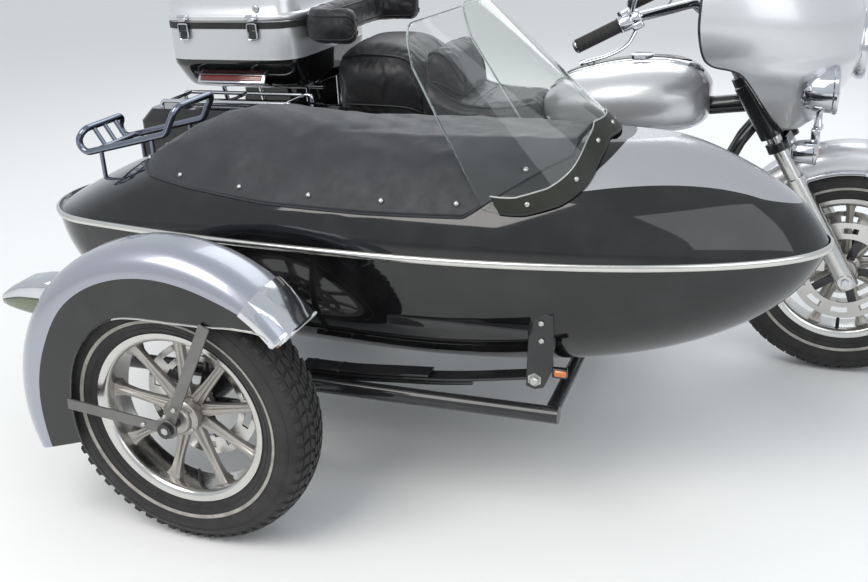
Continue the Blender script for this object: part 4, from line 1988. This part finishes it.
class OUTFIT_OT_tank(PieceOperator):
    """Build the fuel tank with its console, filler door and switch"""

    bl_idname = "outfit.tank"
    bl_label = "Tank and console"

    # Columns: place along the machine, half width, bottom, shoulder, top
    sections = [
        (727, 40, 748, 778, 802), (734, 62, 738, 776, 815), (760, 96, 722, 780, 838),
        (800, 128, 704, 790, 866), (870, 152, 700, 797, 888), (940, 166, 702, 801, 903),
        (1010, 168, 703, 804, 911), (1080, 160, 706, 806, 912), (1130, 143, 713, 808, 905),
        (1170, 120, 724, 809, 890), (1196, 88, 740, 811, 868), (1208, 58, 758, 812, 850),
    ]

    def build(self, settings):
        rings = []
        for x in np.linspace(self.sections[0][0], self.sections[-1][0], 60):
            half, low, shoulder, top = level_values(self.sections, float(x))
            rings.append(
                oval(
                    (x, 0, shoulder), (0, half, 0), (0, 0, top - shoulder), 2.35, 72,
                    lower=(0, 0, shoulder - low),
                )
            )
        tank = loft_piece("tank_shell", rings, "silver", MACHINE, sharp=60)
        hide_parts("fuel_tank")
        base = self.strip("console_base", 36.0, 8.0, 742, 1186, "chrome")
        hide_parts("tank_console")
        self.strip("console_panel", 27.0, 11.5, 762, 1150, "satin")
        x = 1010
        top = level_values(self.sections, x)[3]
        door = spun_piece(
            "filler_door", [(0, 13), (20, 12.5), (31, 10.5), (35, 7), (36, 0), (0, 0)], (x, 0, top + 6),
            (0, 0, 1), "chrome", MACHINE, 48,
        )
        knob = spun_piece(
            "console_switch", [(0, 15), (10, 14), (13, 10), (15, 2), (15, 0), (0, 0)],
            (860, 0, level_values(self.sections, 860)[3] + 9), (0, 0, 1), "chrome", MACHINE, 32,
        )

    def strip(self, name, half, lift, start, end, finish):
        """A long rounded strip that follows the tank's crown."""
        rings = []
        for x in np.linspace(start, end, 36):
            share = min(x - start, end - x) / 40.0
            width = half * math.sqrt(max(0.05, min(share, 1.0) * (2 - min(share, 1.0))))
            top = level_values(self.sections, float(x))[3]
            rings.append(oval((x, 0, top - 6), (0, width, 0), (0, 0, lift + 6), 3.2, 32, lower=(0, 0, 4)))
        return loft_piece(name, rings, finish, MACHINE, sharp=50)


class OUTFIT_OT_front_fender(PieceOperator):
    """Build the front fender with its bright rails"""

    bl_idname = "outfit.front_fender"
    bl_label = "Front fender"

    def section_at(self, degrees):
        ends = min((degrees - 28) / 16, (196 - degrees) / 20, 1)
        edge = 292 + 26 * (1 - math.sqrt(max(0, ends * (2 - ends))))
        return fender_section(78.0, 367.0, edge, fullness=3.4, count=40)

    def build(self, settings):
        fender = fender_piece(
            "front_fender_shell", FRONT_AXLE, (28.0, 196.0), self.section_at, "silver", STEERING
        )
        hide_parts("front_fender")
        for side, word in SIDES:
            bead = edge_bead(
                f"front_fender_edge_{word}", FRONT_AXLE, (28.0, 196.0), side, self.section_at, 2.2,
                "silver", STEERING,
            )
            path = [
                fender_point(FRONT_AXLE, math.radians(a), side * 84.0, 300.0)
                for a in np.linspace(44, 172, 60)
            ]
            rail = tube_piece(f"front_fender_rail_{word}", path, 4.6, "chrome", STEERING, count=12)
            bm = bmesh.new()
            for degrees in (52, 84, 126, 164):
                spun(
                    bm, [(0, -8), (4, -8), (4, 4), (7.5, 5), (7.5, 8), (0, 9.5)],
                    fender_point(FRONT_AXLE, math.radians(degrees), side * 84.0, 300.0), (0, side, 0),
                    steps=12,
                )
            from_bmesh(bm, f"front_fender_rail_posts_{word}", "chrome", STEERING)


class OUTFIT_OT_controls(PieceOperator):
    """Build the grips, levers, switch housings and mirrors on the handlebar"""

    bl_idname = "outfit.controls"
    bl_label = "Grips, levers and mirrors"

    bar_end = (902, 402, 1010)
    bar_knee = (1045, 372, 1078)

    def build(self, settings):
        for side, word in SIDES:
            end, knee = (Vector((x, side * y, z)) for x, y, z in (self.bar_end, self.bar_knee))
            way = (knee - end).normalized()
            self.grip(side, word, end, way)
            self.lever(word, end, way)
            self.mirror(side, word, end + way * 146)

    def grip(self, side, word, end, way):
        profile = [(13.0, 2.0)]
        for k in range(21):
            profile += [(r, a + k * 5.4) for r, a in ((18, 3), (18, 5.8), (16.9, 6.3), (16.9, 7.9))]
        profile += [(19.5, 117), (19.5, 120), (13, 120.5), (13, 2)]
        grip = spun_piece(f"grip_{word}", profile, end, way, "rubber", STEERING, 40, sharp=50)
        if side < 0:
            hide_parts("grips")
        cap = spun_piece(
            f"grip_cap_{word}", [(0, -7), (10, -6), (15.5, -3), (18, 1), (18, 4), (0, 4)], end, way,
            "chrome", STEERING, 40,
        )

    def lever(self, word, end, way):
        ahead = (Vector((1, 0, -0.35)) - way * Vector((1, 0, -0.35)).dot(way)).normalized()
        aside = -way
        pivot = end + way * 150 + ahead * 30
        # Columns: distance out along the bar and ahead of the pivot
        steps = [(34, 22), (84, 25), (128, 18), (150, 14)]
        path = smooth_path([pivot] + [pivot + aside * out + ahead * on for out, on in steps], 6)
        outline = [(p.x, p.y) for p in oval((0, 0, 0), (8.5, 0, 0), (0, 4.2, 0), 2.4, 16)]
        verts = sweep_rings(path, outline)
        faces = grid_faces(len(path), 16, close_columns=True)
        faces += [tuple(range(16)), tuple((len(path) - 1) * 16 + i for i in range(16))]
        lever = new_piece(f"lever_{word}", verts, faces, "chrome", STEERING)
        recalc(lever)
        bm = bmesh.new()
        spun(bm, [(0, -8.0), (7.5, -7.5), (8.5, 0), (7.5, 7.5), (0, 8.0)], path[-1], aside, steps=20)
        spun(
            bm, [(13, 0), (21, 1), (22, 5), (22, 25), (21, 29), (13, 30), (13, 0)], end + way * 122, way,
            steps=32,
        )
        spun(
            bm, [(13, 0), (17, 1), (18, 4), (18, 18), (17, 21), (13, 22), (13, 0)], end + way * 154, way,
            steps=32,
        )
        turn = way.to_track_quat("X", "Z").to_matrix()
        rounded_box(bm, end + way * 160 + ahead * 20, (30, 20, 18), 4.0, turn)
        rounded_box(bm, end + way * 137 - ahead * 8 + Vector((0, 0, 17)), (28, 28, 16), 5.0, turn)
        housing = from_bmesh(bm, f"switch_housing_{word}", "chrome", STEERING)
        bm = bmesh.new()
        for along in (127, 136, 145):
            rounded_box(bm, end + way * along - ahead * 24 + Vector((0, 0, 3)), (6, 5, 9), 1.2, turn)
        from_bmesh(bm, f"switch_buttons_{word}", "rubber", STEERING)

    def mirror(self, side, word, foot):
        centre = Vector((1085, side * 408, 1235))
        rings = []
        back = [
            (1097, 0.25), (1096, 0.5), (1093.5, 0.75), (1088, 0.92), (1082, 0.99), (1077, 1.0),
            (1074.5, 0.985),
        ]
        for x, share in back:
            rings.append(oval((x, centre.y, centre.z), (0, 75 * share, 0), (0, 0, 46 * share), 2.5, 48))
        shell = loft_piece(f"mirror_{word}", rings, "chrome", STEERING, sharp=50)
        if side < 0:
            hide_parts("mirrors")
        rings = [oval((x, centre.y, centre.z), (0, 69, 0), (0, 0, 40.5), 2.5, 48) for x in (1076, 1073.6)]
        glass = loft_piece(f"mirror_glass_{word}", rings, "dark_chrome", STEERING)
        low = [foot + Vector((6, 0, 14)), foot + Vector((20, side * 14, 60))]
        path = smooth_path(low + [centre + Vector((14, side * -6, -60)), centre + Vector((6, 0, -20))], 8)
        stem = tube_piece(f"mirror_stem_{word}", path, 5.2, "chrome", STEERING, count=12)


def hex_bolts(name, places, way, finish, body, radius=6.0, height=4.5):
    """Small hexagon bolts with washers, all facing one way."""
    bm = bmesh.new()
    for place in places:
        spun(
            bm, [(0, height), (radius * 0.8, height), (radius, height * 0.7), (radius, 1.0), (0, 1.0)],
            place, way, steps=6,
        )
        spun(bm, [(0, 1.2), (radius * 1.35, 1.2), (radius * 1.45, -0.6), (0, -0.6)], place, way, steps=16)
    return from_bmesh(bm, name, finish, body, sharp=25)


class OUTFIT_OT_tail_lamps(PieceOperator):
    """Build the stop lamp and the rear turn signals on their bar"""

    bl_idname = "outfit.tail_lamps"
    bl_label = "Rear lamps"

    def build(self, settings):
        out = outward(math.radians(168.0))
        seat = Vector(REAR_AXLE) + out * 368.5
        base = spun_piece(
            "stop_lamp_base",
            [(0, 0), (38, 0), (44, 4), (46, 10), (46, 30), (43.5, 33), (40, 33), (40, 30), (0, 28)], seat,
            out, "chrome", MACHINE, 56,
        )
        lens_piece = spun_piece(
            "stop_lamp_lens", [(0, 55), (18, 54), (32, 49), (39.5, 40), (40, 30), (0, 30)], seat, out,
            "red", MACHINE, 56,
        )
        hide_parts("tail_lamps")
        bar_seat = seat + Vector((-22, 0, 10))
        half = [bar_seat + Vector(step) for step in ((0, -128, 0), (2, -80, -3), (4, -45, -6))]
        path = smooth_path([*half, bar_seat + Vector((6, 0, -8)), *mirrored(half[::-1])], 5)
        bar = tube_piece("rear_signal_bar", path, 8.0, "chrome", MACHINE)
        for side, word in SIDES:
            centre = bar_seat + Vector((0, side * 150, 0))
            body = spun_piece(
                f"rear_signal_{word}",
                [
                    (0, -34), (14, -33), (24, -26), (29, -14), (31, 4), (31.5, 20), (33.5, 22), (33.5, 27),
                    (28, 28), (28, 20), (0, 18),
                ],
                centre, (-1, 0, 0), "chrome", MACHINE, 44,
            )
            face = spun_piece(
                f"rear_signal_lens_{word}", [(0, 34), (14, 33), (24, 29), (28, 24), (28, 20), (0, 20)],
                centre, (-1, 0, 0), "red", MACHINE, 44,
            )


class OUTFIT_OT_engine(PieceOperator):
    """Build the covers, bolts, wires and end caps that dress the engine and the axles"""

    bl_idname = "outfit.engine"
    bl_label = "Engine and axle details"

    derby = (600.0, 318.0)
    cleaner = (790.0, 535.0)

    def ring_of(self, centre, y, radius, count, start=0.3):
        turns = [start + k * 2 * math.pi / count for k in range(count)]
        return [(centre[0] + radius * math.cos(t), y, centre[1] + radius * math.sin(t)) for t in turns]

    def build(self, settings):
        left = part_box("engine_cases")[1][1] * 1000 + DATUM.y
        cleaner_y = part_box("air_cleaner")[0][1] * 1000 + DATUM.y
        cap = spun_piece(
            "air_cleaner_face",
            [
                (0, 9), (22, 8.5), (24, 6), (56, 5.4), (59, 3.4), (64, 3.4), (67, 5.4), (74, 4.4), (78, 0),
                (0, 0),
            ],
            (self.cleaner[0], cleaner_y + 1, self.cleaner[1]), (0, -1, 0), "chrome", MACHINE, 72,
        )
        derby = spun_piece(
            "clutch_cover", [(0, 5.5), (40, 5), (46, 3.4), (50, 0), (0, 0)],
            (self.derby[0], left - 1, self.derby[1]), (0, 1, 0), "chrome", MACHINE, 64,
        )
        places = self.ring_of(self.derby, left + 2.5, 40, 5)
        bolts = [hex_bolts("clutch_cover_bolts", places, (0, 1, 0), "zinc", MACHINE, 3.6, 3.0)]
        places = [(self.cleaner[0], cleaner_y - 7.5, self.cleaner[1])]
        places += self.ring_of(self.cleaner, cleaner_y - 2.6, 61.5, 3)
        bolts.append(hex_bolts("air_cleaner_bolts", places, (0, -1, 0), "zinc", MACHINE, 4.0, 3.4))
        for side, word in SIDES:
            y = (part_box("fork")[0][1] * 1000 + DATUM.y) * -side
            places = [(FRONT_AXLE[0], y - side, TYRE_R)]
            bolts.append(
                hex_bolts(f"front_axle_nut_{word}", places, (0, side, 0), "chrome", STEERING, 12.0, 9.0)
            )
        self.wires()
        self.tips()

    def wires(self):
        """Plug leads that run from the heads under the tank."""
        lean = math.radians(22.5)
        for k, side in enumerate((1, -1)):
            head = Vector((790 + side * math.sin(lean) * 308, 0, 318 + math.cos(lean) * 308))
            start = head + Vector((side * -10, 70, 4))
            path = smooth_path(
                [
                    start, start + Vector((side * -16, 26, 14)), Vector((800, 84, 676)),
                    Vector((796, 40, 700)),
                ],
                8,
            )
            tube_piece(f"plug_lead_{k}", path, 4.0, "rubber", MACHINE, count=10)
            boot = spun_piece(
                f"plug_boot_{k}", [(0, -14), (8, -13), (9.5, -4), (8, 6), (5, 14), (0, 15)], start,
                path[4] - path[0], "rubber", MACHINE, 20,
            )

    def tips(self):
        """Rolled rings with dark bores at the silencers' ends."""
        for side, word in SIDES:
            end = Vector((-460, side * 255, 328))
            way = (end - Vector((245, side * 255, 285))).normalized()
            ring = spun_piece(
                f"silencer_tip_{word}",
                [(34, -4), (44, -6), (47.5, -2), (47.5, 2), (44, 5), (38, 4), (34, 0), (34, -4)], end, way,
                "chrome", MACHINE, 56,
            )
            bore = spun_piece(
                f"silencer_bore_{word}", [(0, 1.2), (35, 1.2), (35, -2), (0, -2)], end, way, "inner",
                MACHINE, 40,
            )


OPERATORS = (
    OUTFIT_OT_finishes,
    OUTFIT_OT_hull,
    OUTFIT_OT_belt_trim,
    OUTFIT_OT_cover,
    OUTFIT_OT_windshield,
    OUTFIT_OT_tyres,
    OUTFIT_OT_wheels,
    OUTFIT_OT_sidecar_fender,
    OUTFIT_OT_springs,
    OUTFIT_OT_seat,
    OUTFIT_OT_trunk,
    OUTFIT_OT_tank,
    OUTFIT_OT_fairing,
    OUTFIT_OT_front_fender,
    OUTFIT_OT_controls,
    OUTFIT_OT_tail_lamps,
    OUTFIT_OT_engine,
    OUTFIT_OT_stage,
)


class OUTFIT_PT_panel(bpy.types.Panel):
    bl_label = "Sidecar outfit"
    bl_idname = "OUTFIT_PT_panel"
    bl_space_type = "VIEW_3D"
    bl_region_type = "UI"
    bl_category = "Outfit"

    def draw(self, context):
        settings = context.scene.outfit
        for key in settings.__annotations__:
            self.layout.prop(settings, key)
        for operator in OPERATORS:
            self.layout.operator(operator.bl_idname)


CLASSES = (OutfitSettings, *OPERATORS, OUTFIT_PT_panel)


def register():
    for item in CLASSES:
        bpy.utils.register_class(item)
    bpy.types.Scene.outfit = bpy.props.PointerProperty(type=OutfitSettings)


def unregister():
    del bpy.types.Scene.outfit
    for item in reversed(CLASSES):
        bpy.utils.unregister_class(item)


def main():
    register()
    for operator in OPERATORS:
        group, name = operator.bl_idname.split(".")
        getattr(getattr(bpy.ops, group), name)()


if __name__ == "__main__":
    main()
